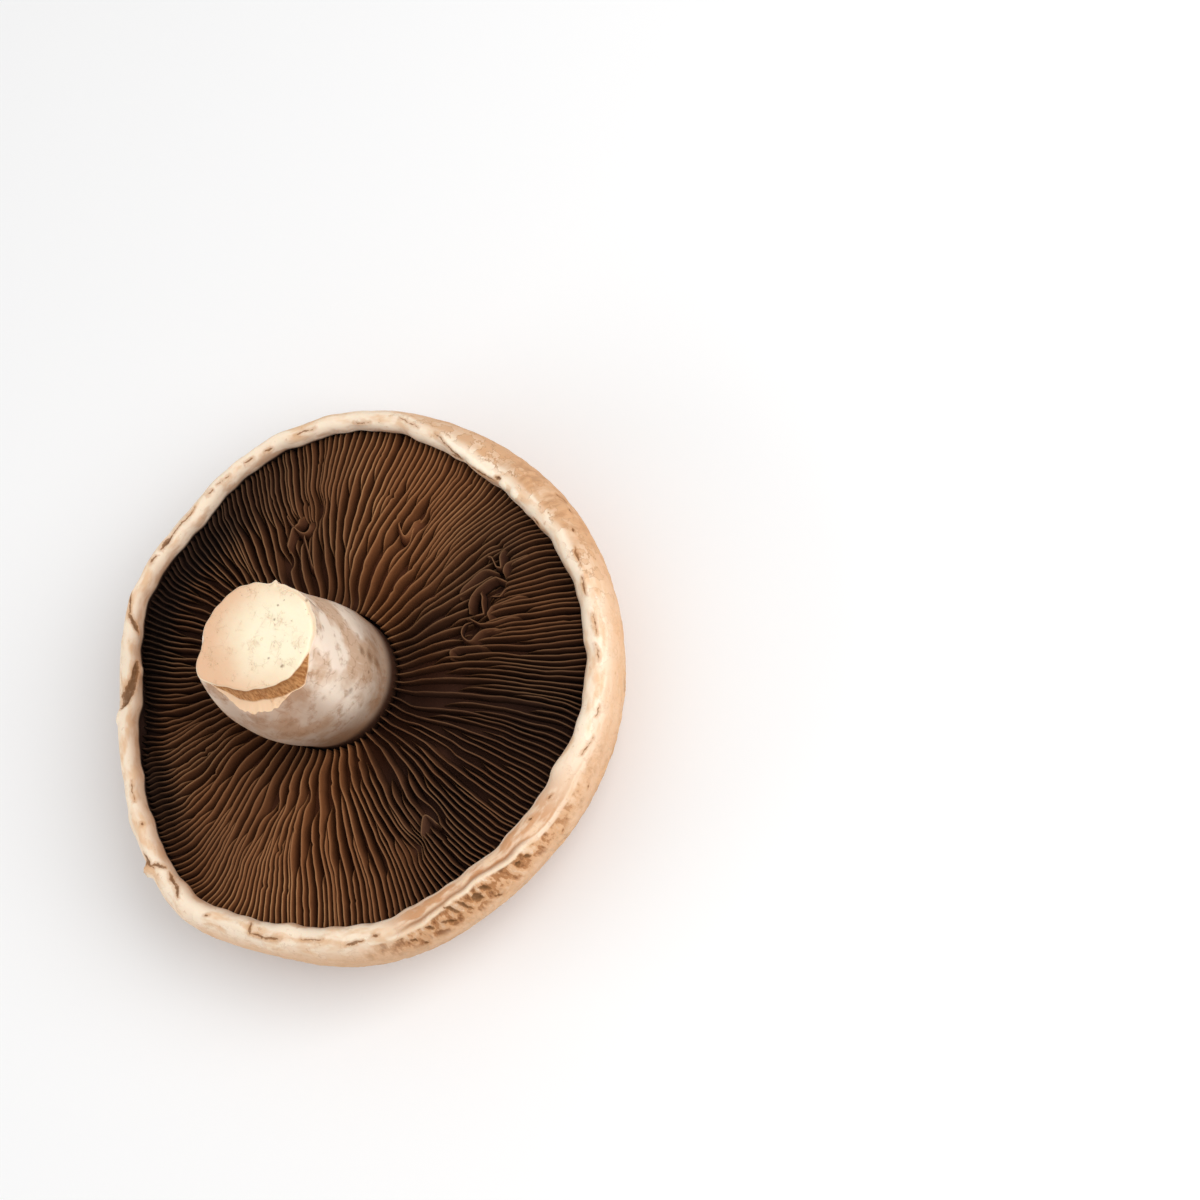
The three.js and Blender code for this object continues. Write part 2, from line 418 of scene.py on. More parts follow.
# %% [markdown]
# Marks on the margin
#
# When the veil tore off, it left cracks, slits and loose bits along the margin. They are single
# marks at places of their own, so they are a short list of strokes, each with a start, an end and a
# width. Round the margin one degree is about one millimetre, so a place there is simply (angle in
# degrees, distance from the crest in mm), and the distance to the nearest stroke is plain geometry.

# %% Tears of the margin
# Each stroke: (angle and distance at the start, the same at the end, half width in mm).
TEARS = [
    ((95.5, -0.4), (100, 0.6), 0.25), ((100, 0.6), (103.5, 2.8), 0.5),
    ((110.5, 3.0), (116, 2.1), 0.65), ((113.5, 2.5), (122.5, -0.4), 1.0),
    ((72, 0.0), (81, 0.4), 0.16), ((80, 0.4), (84, 0.5), 0.5), ((86, 0.4), (88, 0.4), 0.24),
    ((50, 1.9), (52, 1.7), 0.24), ((55, 1.4), (57, 1.2), 0.2), ((61.5, 1.1), (65, 0.8), 0.14),
    ((66.5, 0.9), (68.5, 0.4), 0.2), ((39, 1.0), (44, 1.1), 0.18), ((26, 1.5), (30, 1.9), 0.1),
    ((140.5, 1.0), (145.5, 1.1), 0.12), ((151, 0.8), (151.6, 0.9), 0.2),
    ((157, -1.2), (161.5, -0.2), 0.35), ((160.5, -0.2), (163, 2.0), 0.4),
    ((164.5, 2.3), (167.6, 1.3), 0.5), ((167.2, 1.7), (170.5, 0.1), 0.4),
    ((160.2, -2.0), (160.8, -3.4), 0.35), ((178, 0.1), (178.8, 0.2), 0.3),
    ((189.2, 2.0), (190, -0.9), 0.35), ((190, -0.7), (198, -1.1), 0.28),
    ((203, -0.5), (208.5, -0.3), 0.14), ((213.5, -1.8), (217.5, -1.5), 0.3),
    ((219.8, -0.9), (221.3, -0.8), 0.3), ((263, 0.1), (263.8, 0.2), 0.4),
    ((264.8, -8.6), (265.4, -8.2), 0.25), ((275, -8.2), (275.5, -8), 0.25),
    ((269, -0.6), (270.5, -0.5), 0.2), ((280.5, -2.0), (284.5, -2.9), 0.2),
    ((288.5, -2.0), (291, -2.2), 0.14), ((300, -0.9), (303.5, -0.5), 0.14),
    ((305.5, -1.0), (310, -0.7), 0.16), ((314.5, 0.1), (318.5, -0.2), 0.2),
    ((321, -1.0), (325.5, -1.7), 0.22), ((329, -3.3), (330, -3.4), 0.4),
    ((334, -6.3), (335, -6.7), 0.5), ((337.5, -8.5), (339.5, -6.7), 0.25),
    ((334.5, 2.5), (337, 2.5), 0.2), ((350, 1.3), (351, 1.2), 0.42), ((1.5, 2.8), (4, 2.6), 0.25),
    ((9.4, 0.1), (4.6, 1.5), 0.16), ((5.4, 1.2), (1, 2.7), 0.24), ((359.5, 2.7), (351, 1.8), 0.24),
    ((14, 0.2), (19, 0.2), 0.12), ((237.3, -1.8), (238.9, -5), 0.5),
    ((239.8, -2.2), (241.4, -6), 0.5), ((243, -3.4), (244.5, -5.4), 1.1),
    ((245.4, -2.8), (247, -5), 0.7), ((254, -4), (255, -5.2), 0.7),
    ((256.4, -4.6), (257.4, -5.8), 0.55), ((231.2, -3.6), (232.6, -5), 0.5),
    ((234.6, -4.3), (237, -6.8), 0.5), ((227, -5), (228, -6.2), 0.6),
    ((228.4, -7.5), (229.4, -8.6), 0.4), ((246.4, -7.6), (247.4, -8.6), 0.4),
]
# Loose bits and lumps: (angle and distance at the start, the same at the end, radius, height in mm).
LUMPS = [
    ((160.3, -1.6), (160.6, -2.4), 1.0, 1.5), ((149, -2.4), (150, -2.4), 2.2, 0.5),
    ((124, -0.8), (125, -0.8), 1.3, 0.6), ((103, 0.6), (105.5, 2.4), 1.2, 0.6),
    ((181, -2.5), (182, -2.5), 3.0, -0.6), ((172, -3), (173, -3), 2.4, 0.5),
    ((112, 4.2), (113, 4), 1.0, 0.5), ((348.6, 1.8), (348, 1.9), 1.1, 0.7),
    ((344.8, 1.4), (344, 1.5), 1.0, 0.6), ((7.5, 0.4), (0.2, 1.3), 0.9, 0.55),
    ((359.8, 1.3), (352, 1.1), 0.9, 0.55), ((335, -5), (336, -5), 1.6, 0.5),
    ((196, -3), (197, -3), 2.6, 0.4), ((219, -3.5), (220, -3.5), 3.0, -0.4),
    ((276, 1.5), (277, 1.5), 3.0, 0.4), ((117.5, 0.4), (121.5, -1.2), 0.6, 0.45),
    ((345, -3), (350, -2.6), 1.3, 0.45),
]

# The tears are made ragged by noise of this size and strength, in mm.
RAGGED_SIZE = 1.3
RAGGED = 1.1
# Farther from a tear than any mask reaches, in mm.
FAR = 9.0
print("tears:", len(TEARS), "loose bits and lumps:", len(LUMPS))


# %% The distance to a mark
def degrees_round(graph, place):
    """The angle round the cap's axis, from 0 to 360."""
    x, y, _ = graph.split(place)
    turn = graph.math("ARCTAN2", y - AXIS.y, x - AXIS.x)
    return graph.math("FLOORED_MODULO", turn * (180 / math.pi), 360)


def gap_to_stroke(graph, spot, start, end):
    """(distance from a spot to a stroke, and the share of the way along it), on the skin or in space."""
    start, end = Vector(start).to_3d(), Vector(end).to_3d()
    run = end - start
    offset = graph.vector("SUBTRACT", spot, start)
    share = graph.vector("DOT_PRODUCT", offset, run / run.length_squared, output="Value")
    share = graph.math("MINIMUM", graph.math("MAXIMUM", share, 0), 1)
    off = graph.vector("SUBTRACT", offset, graph.scaled(run, share))
    return graph.vector("LENGTH", off, output="Value"), share


def margin_marks(graph, place, from_crest):
    """(distance to the nearest tear, negative inside it, and the height of the lumps), in mm."""
    ragged = graph.add(
        "ShaderNodeTexNoise", {"Vector": place, "Scale": 1 / (RAGGED_SIZE * MM), "Detail": 3}, "Color"
    )
    spot = graph.join(degrees_round(graph, place), from_crest, 0)
    spot = graph.vector("ADD", spot, graph.scaled(graph.vector("SUBTRACT", ragged, HALF), RAGGED))
    nearest = FAR
    for start, end, half_width in TEARS:
        gap, share = gap_to_stroke(graph, spot, start, end)
        # A tear is widest in its middle and pointed at its ends.
        wide = share * (1 - share) * (2.8 * half_width) + 0.3 * half_width
        nearest = graph.math("MINIMUM", gap - wide, nearest)
    height = 0.0
    for start, end, radius, rise in LUMPS:
        height = graph.bell(gap_to_stroke(graph, spot, start, end)[0], radius) * rise + height
    return nearest, height


# %% [markdown]
# The relief of the cap
#
# A geometry tree pushes each point along its normal: the scales on the side, the groove in the
# margin where the veil tore off, the tears and small lumps. Doing it with nodes rather than with a
# Displace modifier lets the pattern be the very one that the material uses.

# %% Relief of the cap
# How far the scales stand out, in mm.
RELIEF = 0.34
# Across one part of the margin the veil left a groove, this far outside the crest in mm.
GROOVE_FROM, GROOVE_TO = 226, 262
GROOVE_OUT = 1.95
# Heights and depths of what the veil left, in mm.
RIDGE_HEIGHT, GROOVE_DEPTH, BAND_DEPTH = 0.35, 0.75, 0.15
STREAK_DEPTH = 0.3
TEAR_DEPTH, TEAR_EDGE = 0.7, 0.15
UNEVEN_SKIN = 0.5


def groove_line(graph, place, from_crest):
    """Where the veil sat: (groove, ridge outside it, band inside it, streak pattern, how streaky)."""
    turn = degrees_round(graph, place)
    # The line wanders in and out along the margin.
    line = graph.step(turn, 227, 241) * 1.3 - graph.step(turn, 246, 258) * 1.1
    line = line - graph.step(turn, 256, 264) * 1.6
    across = from_crest + GROOVE_OUT - line + (graph.noise(place, 2.5, detail=2) - 0.5) * 0.35
    deep = graph.step(turn, GROOVE_FROM - 4, GROOVE_FROM + 4) * graph.step(turn, GROOVE_TO, GROOVE_TO - 6)
    groove = graph.bell(across, 0.45) * deep
    ridge = graph.bell(across + 0.95, 0.5) * deep
    near = graph.step(turn, 218, 230) * graph.step(turn, 284, 262)
    band = graph.step(across, -0.2, 0.3) * graph.step(from_crest, 2.6, 1.6) * near
    # Outside it, and on one more stretch, the skin is torn into streaks that run outwards.
    skin = skin_place(graph, place, from_crest, 0.62, 0.3)
    streak = graph.add("ShaderNodeTexNoise", {"Vector": skin, "Scale": 1.0, "Detail": 3, "Roughness": 0.5})
    wide = graph.step(turn, 212, 232) * graph.step(turn, 292, 256)
    streaks = graph.step(across, -0.9, -1.7) * graph.step(from_crest, -10, -6.5) * wide
    flaky = graph.step(turn, 322, 334) * graph.step(turn, 356, 348) * graph.step(from_crest, -0.8, -2.4)
    streaks = graph.math("MAXIMUM", streaks, flaky * graph.step(from_crest, -13, -9) * 0.5)
    return groove, ridge, band, streak, streaks


def zones(graph, from_crest, place):
    """How scaly the skin is, and how pale: both from the distance to the margin's crest, in mm."""
    wander = (graph.noise(place, 8, detail=2) - 0.5) * 9
    scaly = graph.step(from_crest + wander, -52, -24) * graph.step(from_crest + wander, -5, -17)
    return scaly, graph.step(from_crest + wander, -21, -5)


# %% A geometry tree, and a plain mesh from it
def geometry_tree(name):
    tree = bpy.data.node_groups.new(name, "GeometryNodeTree")
    tree.interface.new_socket("Geometry", in_out="INPUT", socket_type="NodeSocketGeometry")
    tree.interface.new_socket("Geometry", in_out="OUTPUT", socket_type="NodeSocketGeometry")
    return tree


def named(graph, name):
    return graph.add("GeometryNodeInputNamedAttribute", {"Name": name}, "Attribute", data_type="FLOAT")


def finish_tree(graph, shape, material):
    real = graph.add("GeometryNodeRealizeInstances", {"Geometry": shape})
    dressed = graph.add("GeometryNodeSetMaterial", {"Geometry": real, "Material": material})
    graph.add("NodeGroupOutput", {"Geometry": dressed})


# %% The tree of the cap's relief
def relief_tree(material):
    tree = geometry_tree("cap_relief")
    relief_input = tree.interface.new_socket("Relief", in_out="INPUT", socket_type="NodeSocketFloat")
    graph = Graph(tree)
    entry = graph.add("NodeGroupInput")
    place = graph.add("GeometryNodeInputPosition")
    from_crest = named(graph, "from_crest")
    inner, lift, _ = skin_scales(graph, place, from_crest)
    scaly, _ = zones(graph, from_crest, place)
    groove, ridge, band, streak, streaks = groove_line(graph, place, from_crest)
    tear, lumps = margin_marks(graph, place, from_crest)
    fine = graph.noise(place, 2.2, detail=3, rough=0.6) - 0.5
    broad = graph.noise(place, 6, detail=2) - 0.5
    resting = graph.step(graph.split(place)[2], 0.2 * MM, 2.5 * MM)
    height = scaly * (inner * 0.35 + lift * 0.65 - 0.55) + fine * 0.45
    veil = ridge * RIDGE_HEIGHT - groove * GROOVE_DEPTH - band * BAND_DEPTH
    height = height * entry.out("Relief") + (veil + broad * UNEVEN_SKIN) * MM
    height = height - streaks * graph.step(streak, 0.44, 0.6) * STREAK_DEPTH * MM
    torn = graph.bell(tear - 0.35, 0.4) * TEAR_EDGE - graph.step(tear, 0.05, -0.5) * TEAR_DEPTH
    height = height + (torn + lumps) * MM
    # The flat spot that it rests on and the bowl under the gills stay as they are.
    shown = resting * graph.step(from_crest, 6, 4.5)
    offset = graph.scaled(graph.add("GeometryNodeInputNormal"), height * shown)
    shape = graph.add("GeometryNodeSetPosition", {"Geometry": entry, "Offset": offset})
    finish_tree(graph, shape, material)
    return tree, relief_input.identifier


def apply_nodes(piece, tree, values):
    """Runs a geometry tree on a piece and keeps the result as a plain mesh, without the modifier."""
    modifier = piece.modifiers.new(tree.name, "NODES")
    modifier.node_group = tree
    for identifier, value in values.items():
        modifier[identifier] = value
    evaluated = piece.evaluated_get(bpy.context.evaluated_depsgraph_get())
    made = bpy.data.meshes.new_from_object(evaluated)
    piece.modifiers.clear()
    old = piece.data
    piece.data = made
    bpy.data.meshes.remove(old)
    made.name = piece.name
    return piece


# %% [markdown]
# The finish of the cap
#
# The skin is matt and dry, tan with browner scales, with painted shade under their lifted ends,
# and the margin is pale cream, since the young gills were covered there. Colours are layered by the
# same masks that raise the relief. Real flesh lets a little light through, so the shader has weak
# subsurface.

# %% Cap material
# Round these angles the margin is flaky, browner outside its crest, and has painted shade inside it.
FLAKED_TURN, BROWN_TURN, SHADY_TURN = 346, 350, 135


def facing(graph, turn, centre):
    """1 at an angle round the cap, and -1 opposite it. Both angles are in degrees."""
    return graph.math("COSINE", (turn - centre) * (math.pi / 180))


def new_material(name):
    material = bpy.data.materials.new(name)
    material.use_nodes = True
    return material, Graph(material.node_tree)


def close_material(graph, base, roughness, height, strength, distance_mm, subsurface=0.0):
    bump = graph.add(
        "ShaderNodeBump", {"Strength": strength, "Distance": distance_mm * MM, "Height": height}
    )
    shader = graph.add(
        "ShaderNodeBsdfPrincipled",
        {
            "Base Color": base, "Roughness": roughness, "Normal": bump,
            "Subsurface Weight": subsurface, "Subsurface Radius": (1.0, 0.5, 0.3),
            "Subsurface Scale": 2 * MM, "Specular IOR Level": 0.25,
        },
    )
    graph.add("ShaderNodeOutputMaterial", {"Surface": shader})


def cap_material():
    material, graph = new_material("mushroom_skin")
    place = graph.add("ShaderNodeTexCoord", output="Object")
    from_crest = graph.add("ShaderNodeAttribute", output="Fac", attribute_name="from_crest")
    inner, lift, tone = skin_scales(graph, place, from_crest)
    scaly, pale = zones(graph, from_crest, place)
    groove, ridge, band, streak, streaks = groove_line(graph, place, from_crest)
    tear, lumps = margin_marks(graph, place, from_crest)
    broad = graph.noise(place, 20, detail=3, rough=0.6)
    patch = graph.noise(place, 5, detail=4, rough=0.65)
    grain = graph.noise(place, 0.9, detail=4, rough=0.7)
    fleck = graph.noise(place, 1.8, detail=3, rough=0.65)
    # The crown: tan, with browner clouds and small dark flecks.
    skin = graph.blend(colour(184, 130, 84), colour(210, 162, 114), graph.step(broad, 0.35, 0.65))
    skin = graph.blend(skin, colour(158, 104, 62), graph.step(patch, 0.54, 0.76) * 0.5)
    # The side: scales with paler tips, partly their own colour and partly a painted highlight,
    # and painted shade under the lifted ends of some of them.
    skin = graph.blend(skin, colour(228, 192, 150), scaly * inner * graph.step(lift, 0.35, 0.95) * 0.75)
    torn = scaly * (1 - inner) * graph.step(lift + tone * 0.6, 1.0, 0.45) * graph.step(patch, 0.38, 0.55)
    skin = graph.blend(skin, colour(116, 72, 40), torn * 0.75)
    skin = graph.blend(skin, colour(126, 80, 48), graph.step(grain, 0.62, 0.76) * 0.45)
    # The margin: cream, with faint tan clouds and flecks.
    along = skin_place(graph, place, from_crest, 0.16, 0.45)
    flow = graph.add("ShaderNodeTexNoise", {"Vector": along, "Scale": 1.0, "Detail": 3, "Roughness": 0.5})
    margin = graph.blend(colour(247, 228, 204), colour(232, 196, 160), graph.step(flow, 0.45, 0.7))
    outer = graph.step(from_crest + (flow - 0.5) * 8, -1.5, -7)
    margin = graph.blend(margin, colour(222, 176, 136), outer * 0.75)
    margin = graph.blend(margin, colour(190, 142, 102), graph.step(fleck, 0.6, 0.72) * 0.45)
    # Loose flakes of skin lie on its outer half, darker along their edges.
    flake = graph.noise(place, 3.6, detail=4, rough=0.55)
    turn = degrees_round(graph, place)
    flaked = graph.step(facing(graph, turn, FLAKED_TURN), 0.8, 0.97) + 0.22
    outside = graph.step(from_crest, 0.8, -1.6) * flaked
    margin = graph.blend(margin, colour(214, 166, 124), outside * graph.step(flake, 0.47, 0.54) * 0.6)
    margin = graph.blend(margin, colour(160, 112, 74), outside * graph.bell(flake - 0.5, 0.012) * 0.75)
    base = graph.blend(skin, margin, pale)
    # Brown scales thin out towards the margin's crest.
    brown = graph.blend(colour(160, 106, 60), colour(204, 152, 104), graph.step(fleck, 0.36, 0.62))
    gathered = graph.step(from_crest, -2.5, -5.0) * graph.step(from_crest, -15, -9)
    gathered = gathered * graph.step(patch + tone * 0.22, 0.5, 0.72) * (streaks * 0.55 + 0.1)
    base = graph.blend(base, brown, gathered * graph.step(inner + patch, 0.4, 1.1))
    # Streaks outside the groove, from cream through tan to dark brown.
    base = graph.blend(base, colour(214, 164, 120), streaks * graph.step(streak, 0.34, 0.44) * 0.85)
    base = graph.blend(base, colour(168, 112, 66), streaks * graph.step(streak, 0.47, 0.54) * 0.85)
    base = graph.blend(base, colour(122, 76, 40), streaks * graph.step(streak, 0.57, 0.64) * 0.75)
    browner = graph.step(facing(graph, turn, BROWN_TURN), 0.78, 0.93)
    browner = browner * graph.step(from_crest + broad, 0.2, -1.5)
    base = graph.blend(base, colour(206, 158, 116), browner * 0.55)
    # The strip inside the groove is tan, and the inner side of the lip has painted shade.
    base = graph.blend(base, colour(202, 148, 104), band * graph.step(flow, 0.66, 0.44) * 0.95)
    # Painted highlight: the ridge outside the groove is lightened.
    base = graph.blend(base, colour(246, 220, 188), ridge * 0.45)
    base = graph.blend(base, colour(158, 104, 62), groove * 0.75)
    # Painted shade on the inner side of the lip, and more of it on the far side, round SHADY_TURN.
    shade = graph.step(from_crest, 1.2, 3.6) * (0.4 + graph.step(flow, 0.4, 0.6) * 0.4)
    base = graph.blend(base, colour(176, 138, 112), shade)
    shady = graph.step(facing(graph, turn, SHADY_TURN), 0.5, 0.9) * graph.step(from_crest, 0.5, 3.2)
    base = graph.blend(base, colour(190, 142, 106), shady * 0.55)
    # Loose bits are cream, and the tears are brown, darker inside than round them.
    loose = graph.step(lumps + (fleck - 0.5) * 0.5, 0.2, 0.4) * graph.step(from_crest, -1.0, 0.2)
    base = graph.blend(base, colour(252, 238, 216), loose * flaked * 0.6)
    base = graph.blend(base, colour(190, 136, 90), graph.step(tear, 0.8, 0.0) * 0.5)
    worn = graph.step(grain + fleck * 0.4, 0.42, 0.7)
    base = graph.blend(base, colour(138, 92, 50), graph.step(tear, 0.08, -0.06) * (0.35 + worn * 0.45))
    base = graph.blend(base, colour(92, 58, 28), graph.step(tear, 0.0, -0.45) * 0.5)
    # Under the lip the flesh is as dark as the gills.
    base = graph.blend(base, colour(48, 26, 16), graph.step(from_crest, 3.9, 5.0))
    height = scaly * inner * 0.6 + grain * 0.35 + patch * 0.4
    close_material(graph, base, 0.62 + grain * 0.25, height, 0.55, 0.5, subsurface=0.12)
    return material


skin_material = cap_material()
tree, relief_socket = relief_tree(skin_material)
apply_nodes(cap, tree, {relief_socket: RELIEF * MM})
print("cap triangles:", sum(len(p.vertices) - 2 for p in cap.data.polygons))

# %% [markdown]
# The gills
#
# Gills are thin blades that run from the stem to the margin. Short ones start part of the way out,
# so the blades stay about as far apart everywhere. They sway together, break, and fold where they
# are crowded. A geometry tree does this well: one blade is a thin box with many steps along it. It
# is instanced once for each blade, made real, and each of its points is then sent to its place in
# the bowl by a rule, between a ring at the stem and a ring at the margin. The tree has named inputs
# for the rings, the count, the thickness and the seed, so that other mushrooms can be grown from it.

# %% The two rings that the gills run between
RING_POINTS = 180


def guide_ring(name, points):
    """A closed curve through points in mm about the cap's axis. It only guides, and is removed."""
    curve = bpy.data.curves.new(name, "CURVE")
    curve.dimensions = "3D"
    spline = curve.splines.new("POLY")
    spline.points.add(len(points) - 1)
    for point, place in zip(spline.points, points):
        point.co = (*(Vector(place) * MM + AXIS), 1)
    spline.use_cyclic_u = True
    ring = bpy.data.objects.new(name, curve)
    bpy.context.scene.collection.objects.link(ring)
    return ring


ring_turn = np.linspace(0, 2 * math.pi, RING_POINTS, endpoint=False)
root_ring = guide_ring("root_ring", in_bowl(0, ring_turn, 0))
margin_ring = guide_ring("margin_ring", in_bowl(1, ring_turn, 0, inset=GAP))

# %% [markdown]
# The bed of the gills
#
# The blades stand on a bed that lines the bowl. It is a plain closed ring, like a shallow dish
# with a hole for the stem. It takes the painted shade of the blades' feet, and only shows as
# darkness between the blades.

# %% The bed
GILL_CREST = 25.4
# The bed lies this far under the gills' edges in the middle of the way out.
GILL_DEPTH = 4.4
DIP_AT_STEM = 4.6
DIP_AT_MARGIN = 1.1
# The gills turn down most round this angle, and a painted shadow of the lip darkens their ends there.
SHADED_TURN = 108
GILL_SAG = 0.5
BED_COLUMNS, BED_STEPS = 180, 20


def edge_height(share, turn):
    """Height of the gills' edges: low round the stem, and turned down again at the margin."""
    dips = DIP_AT_STEM * (1 - smooth(share, 0, 0.3)) + DIP_AT_MARGIN * smooth(share, 0.72, 1)
    return GILL_CREST - dips + GILL_SAG * np.sin(3 * turn + 1.1) * np.sin(math.pi * share)


def bed_rows():
    turn = np.linspace(0, 2 * math.pi, BED_COLUMNS, endpoint=False)
    rows = [in_bowl(share, turn, bowl_floor(share) + GAP, share * GAP) for share in (0, 0.5, 1)]
    for share in np.linspace(1, 0, BED_STEPS):
        depth = GILL_DEPTH * (0.55 + 0.45 * math.sin(math.pi * share))
        rows.append(in_bowl(share, turn, edge_height(share, turn) - depth, share * GAP))
    return np.array(rows)


gills = closed_surface("gill_ring", bed_rows(), ring=True)
# Up is 0 all over the bed, so it takes the painted shade of the blades' feet.
keep_value(gills, "up", np.zeros(len(gills.data.vertices)))
keep_value(gills, "blade", np.zeros(len(gills.data.vertices)))
print("bed faces:", len(gills.data.polygons))

# %% [markdown]
# Marks in the gills
#
# A few places give these gills their character: crowded blades that folded over each other, and
# pits where blades broke off. A pit is a listed mark, in mm from the cap's axis, which the tree
# turns into a bell-shaped push on the blades nearby. A folded gill is a blade of its own, along a
# path of a few given points, and most of them lie over one shallow trench.

# %% Marks
# Each pit: (x, y, radius, depth, how far it bends the blades aside).
PITS = [
    (28.6, -17.8, 1.5, 2.6, 0.3), (22.3, -19.3, 1.4, 2.6, 0.3), (33.3, -19.7, 1.5, 2.4, 0.3),
    (37.4, -18.2, 1.3, 2.4, 0.3), (17.5, -19.1, 1.3, 2.0, 0.2), (24.9, 33.0, 1.5, 2.4, 0.4),
    (26.2, 28.8, 1.5, 2.4, 0.4), (-25.1, -3.5, 2.0, 2.2, 0.6), (-30.8, 3.3, 2.2, 1.6, 0.6),
    (30.0, 30.0, 2.6, 3.0, 1.0), (24.0, 30.0, 2.2, 3.0, 0.8), (17.0, 29.5, 2.0, 2.6, 0.7),
    (33.0, 7.0, 2.2, 2.6, 1.2), (38.5, 4.5, 2.0, 2.0, 0.8), (-16.5, -31.5, 3.0, 3.2, 1.3),
    (-23.5, -32.0, 2.6, 2.8, 1.0), (-31.8, 22.0, 3.2, 1.6, 0.6), (-3.0, -27.5, 2.6, 2.4, 0.9),
    (8.0, -34.0, 5.5, 1.8, 0.5), (15.5, 12.0, 2.4, 1.6, 0.6),
]
# The trench under the folded gills runs from one point to the other.
TRENCH_FROM, TRENCH_TO = (18.5, -18.5), (40.5, -17.8)
TRENCH_DEPTH, TRENCH_WIDTH = 2.6, 2.3
# Folded gills, each a path in plan: (how far it leans over, (x, y) and so on).
FOLDS = [
    (0.35, (27.2, -12.9), (29.3, -12.6), (31.4, -13.5), (34.5, -14.5), (35.8, -16), (36.1, -18)),
    (0.24, (25.5, -16.5), (28.8, -15.6), (30.8, -15.9), (33.3, -17.1), (35, -18.5), (35.3, -22)),
    (0.2, (37, -25.5), (33.6, -22), (31.8, -21.7), (31.1, -20.3), (30.8, -18.9)),
    (0.1, (31.1, -16.4), (30, -18), (28.7, -18.7), (26.9, -20.3), (25, -18)),
    (0.1, (24.2, -16.4), (24.6, -18), (24.6, -20.7), (26.2, -23.3), (30, -27.4)),
    (0.3, (24.7, -18.4), (22.6, -17.2), (20.5, -18), (20.1, -20.8), (22, -21.1), (24.3, -22.1), (26, -26)),
    (0.24, (26, -21.9), (27.4, -21), (29, -21.1), (31.3, -23.3), (34.6, -26.4)),
    (0.2, (15, -17.9), (16.8, -17.6), (18, -18.7), (21, -24)),
    (0.2, (37.9, -13.3), (38.4, -15.3), (37, -17.4), (37.3, -18.5), (39.2, -17), (41.5, -16.6)),
    (0.26, (35.8, -20.1), (37.8, -18.6), (39.9, -20.2), (43, -23.4)),
    (0.3, (26.4, 35.6), (24.5, 32.6), (23.7, 28.3), (26.2, 27.6), (27, 29.3)),
    (0.2, (18.9, 30.1), (20.7, 30.8), (23.9, 31.8), (25.4, 31), (27.4, 31.6)),
    (0.5, (24.4, 29), (22.1, 26.4), (19.9, 23.8), (18, 21.8)),
    (0.5, (36.5, 9.6), (33, 6.2), (35, 5.2), (38.6, 5.6)),
    (0.5, (-21.2, -33.4), (-17.4, -31), (-15.6, -31.4), (-16.8, -35.6)),
]
# How far down a folded gill reaches from its edge, in mm.
FOLD_DEPTH = 3.2
print("pits:", len(PITS), "folded gills:", len(FOLDS))

# %% The tree that grows the gills
LONG_STEPS, SHORT_STEPS, FOLD_STEPS, BLADE_LEVELS = 46, 28, 36, 5
# How thick a blade is at its edge, as a share of its foot.
EDGE_SHARE = 0.15


def gill_tree(material):
    tree = geometry_tree("gill_growth")
    sockets = {}
    for name, kind in [
        ("Root ring", "NodeSocketObject"), ("Margin ring", "NodeSocketObject"),
        ("Fold paths", "NodeSocketObject"), ("Folds", "NodeSocketInt"),
        ("Long gills", "NodeSocketInt"), ("Thickness", "NodeSocketFloat"), ("Seed", "NodeSocketInt"),
    ]:
        sockets[name] = tree.interface.new_socket(name, in_out="INPUT", socket_type=kind).identifier
    graph = Graph(tree)
    entry = graph.add("NodeGroupInput")
    long_gills = entry.out("Long gills")
    long_half = blade_set(graph, entry, long_gills * 2, LONG_STEPS, is_short=False)
    short_half = blade_set(graph, entry, long_gills * 2, SHORT_STEPS, is_short=True)
    folded = folded_gills(graph, entry)
    shape = graph.add("GeometryNodeJoinGeometry")
    for part in (folded, short_half, long_half, entry):
        tree.links.new(part.socket, shape.socket.node.inputs[0])
    finish_tree(graph, shape, material)
    return tree, sockets


# %% Blades before they are bent
def blank_blades(graph, count, steps):
    """A box with steps along it for each blade: (the boxes, place along, side, and up in each)."""
    box = graph.add(
        "GeometryNodeMeshCube",
        {"Size": (1, 1, 1), "Vertices X": steps, "Vertices Y": 2, "Vertices Z": BLADE_LEVELS},
        "Mesh",
    )
    row = graph.add("GeometryNodePoints", {"Count": count})
    row = graph.add(
        "GeometryNodeStoreNamedAttribute",
        {"Geometry": row, "Name": "blade", "Value": graph.add("GeometryNodeInputIndex")},
        data_type="FLOAT", domain="POINT",
    )
    blades = graph.add("GeometryNodeInstanceOnPoints", {"Points": row, "Instance": box})
    blades = graph.add("GeometryNodeRealizeInstances", {"Geometry": blades})
    along, side, up = graph.split(graph.add("GeometryNodeInputPosition"))
    return blades, along + 0.5, side * 2, up + 0.5


def place_blades(graph, blades, up, place):
    """Keeps the share of the way up on each point, then sends the points to their place."""
    blades = graph.add(
        "GeometryNodeStoreNamedAttribute", {"Geometry": blades, "Name": "up", "Value": up},
        data_type="FLOAT", domain="POINT",
    )
    blades = graph.add("GeometryNodeSetPosition", {"Geometry": blades, "Position": place})
    return graph.add("GeometryNodeSetShadeSmooth", {"Geometry": blades})


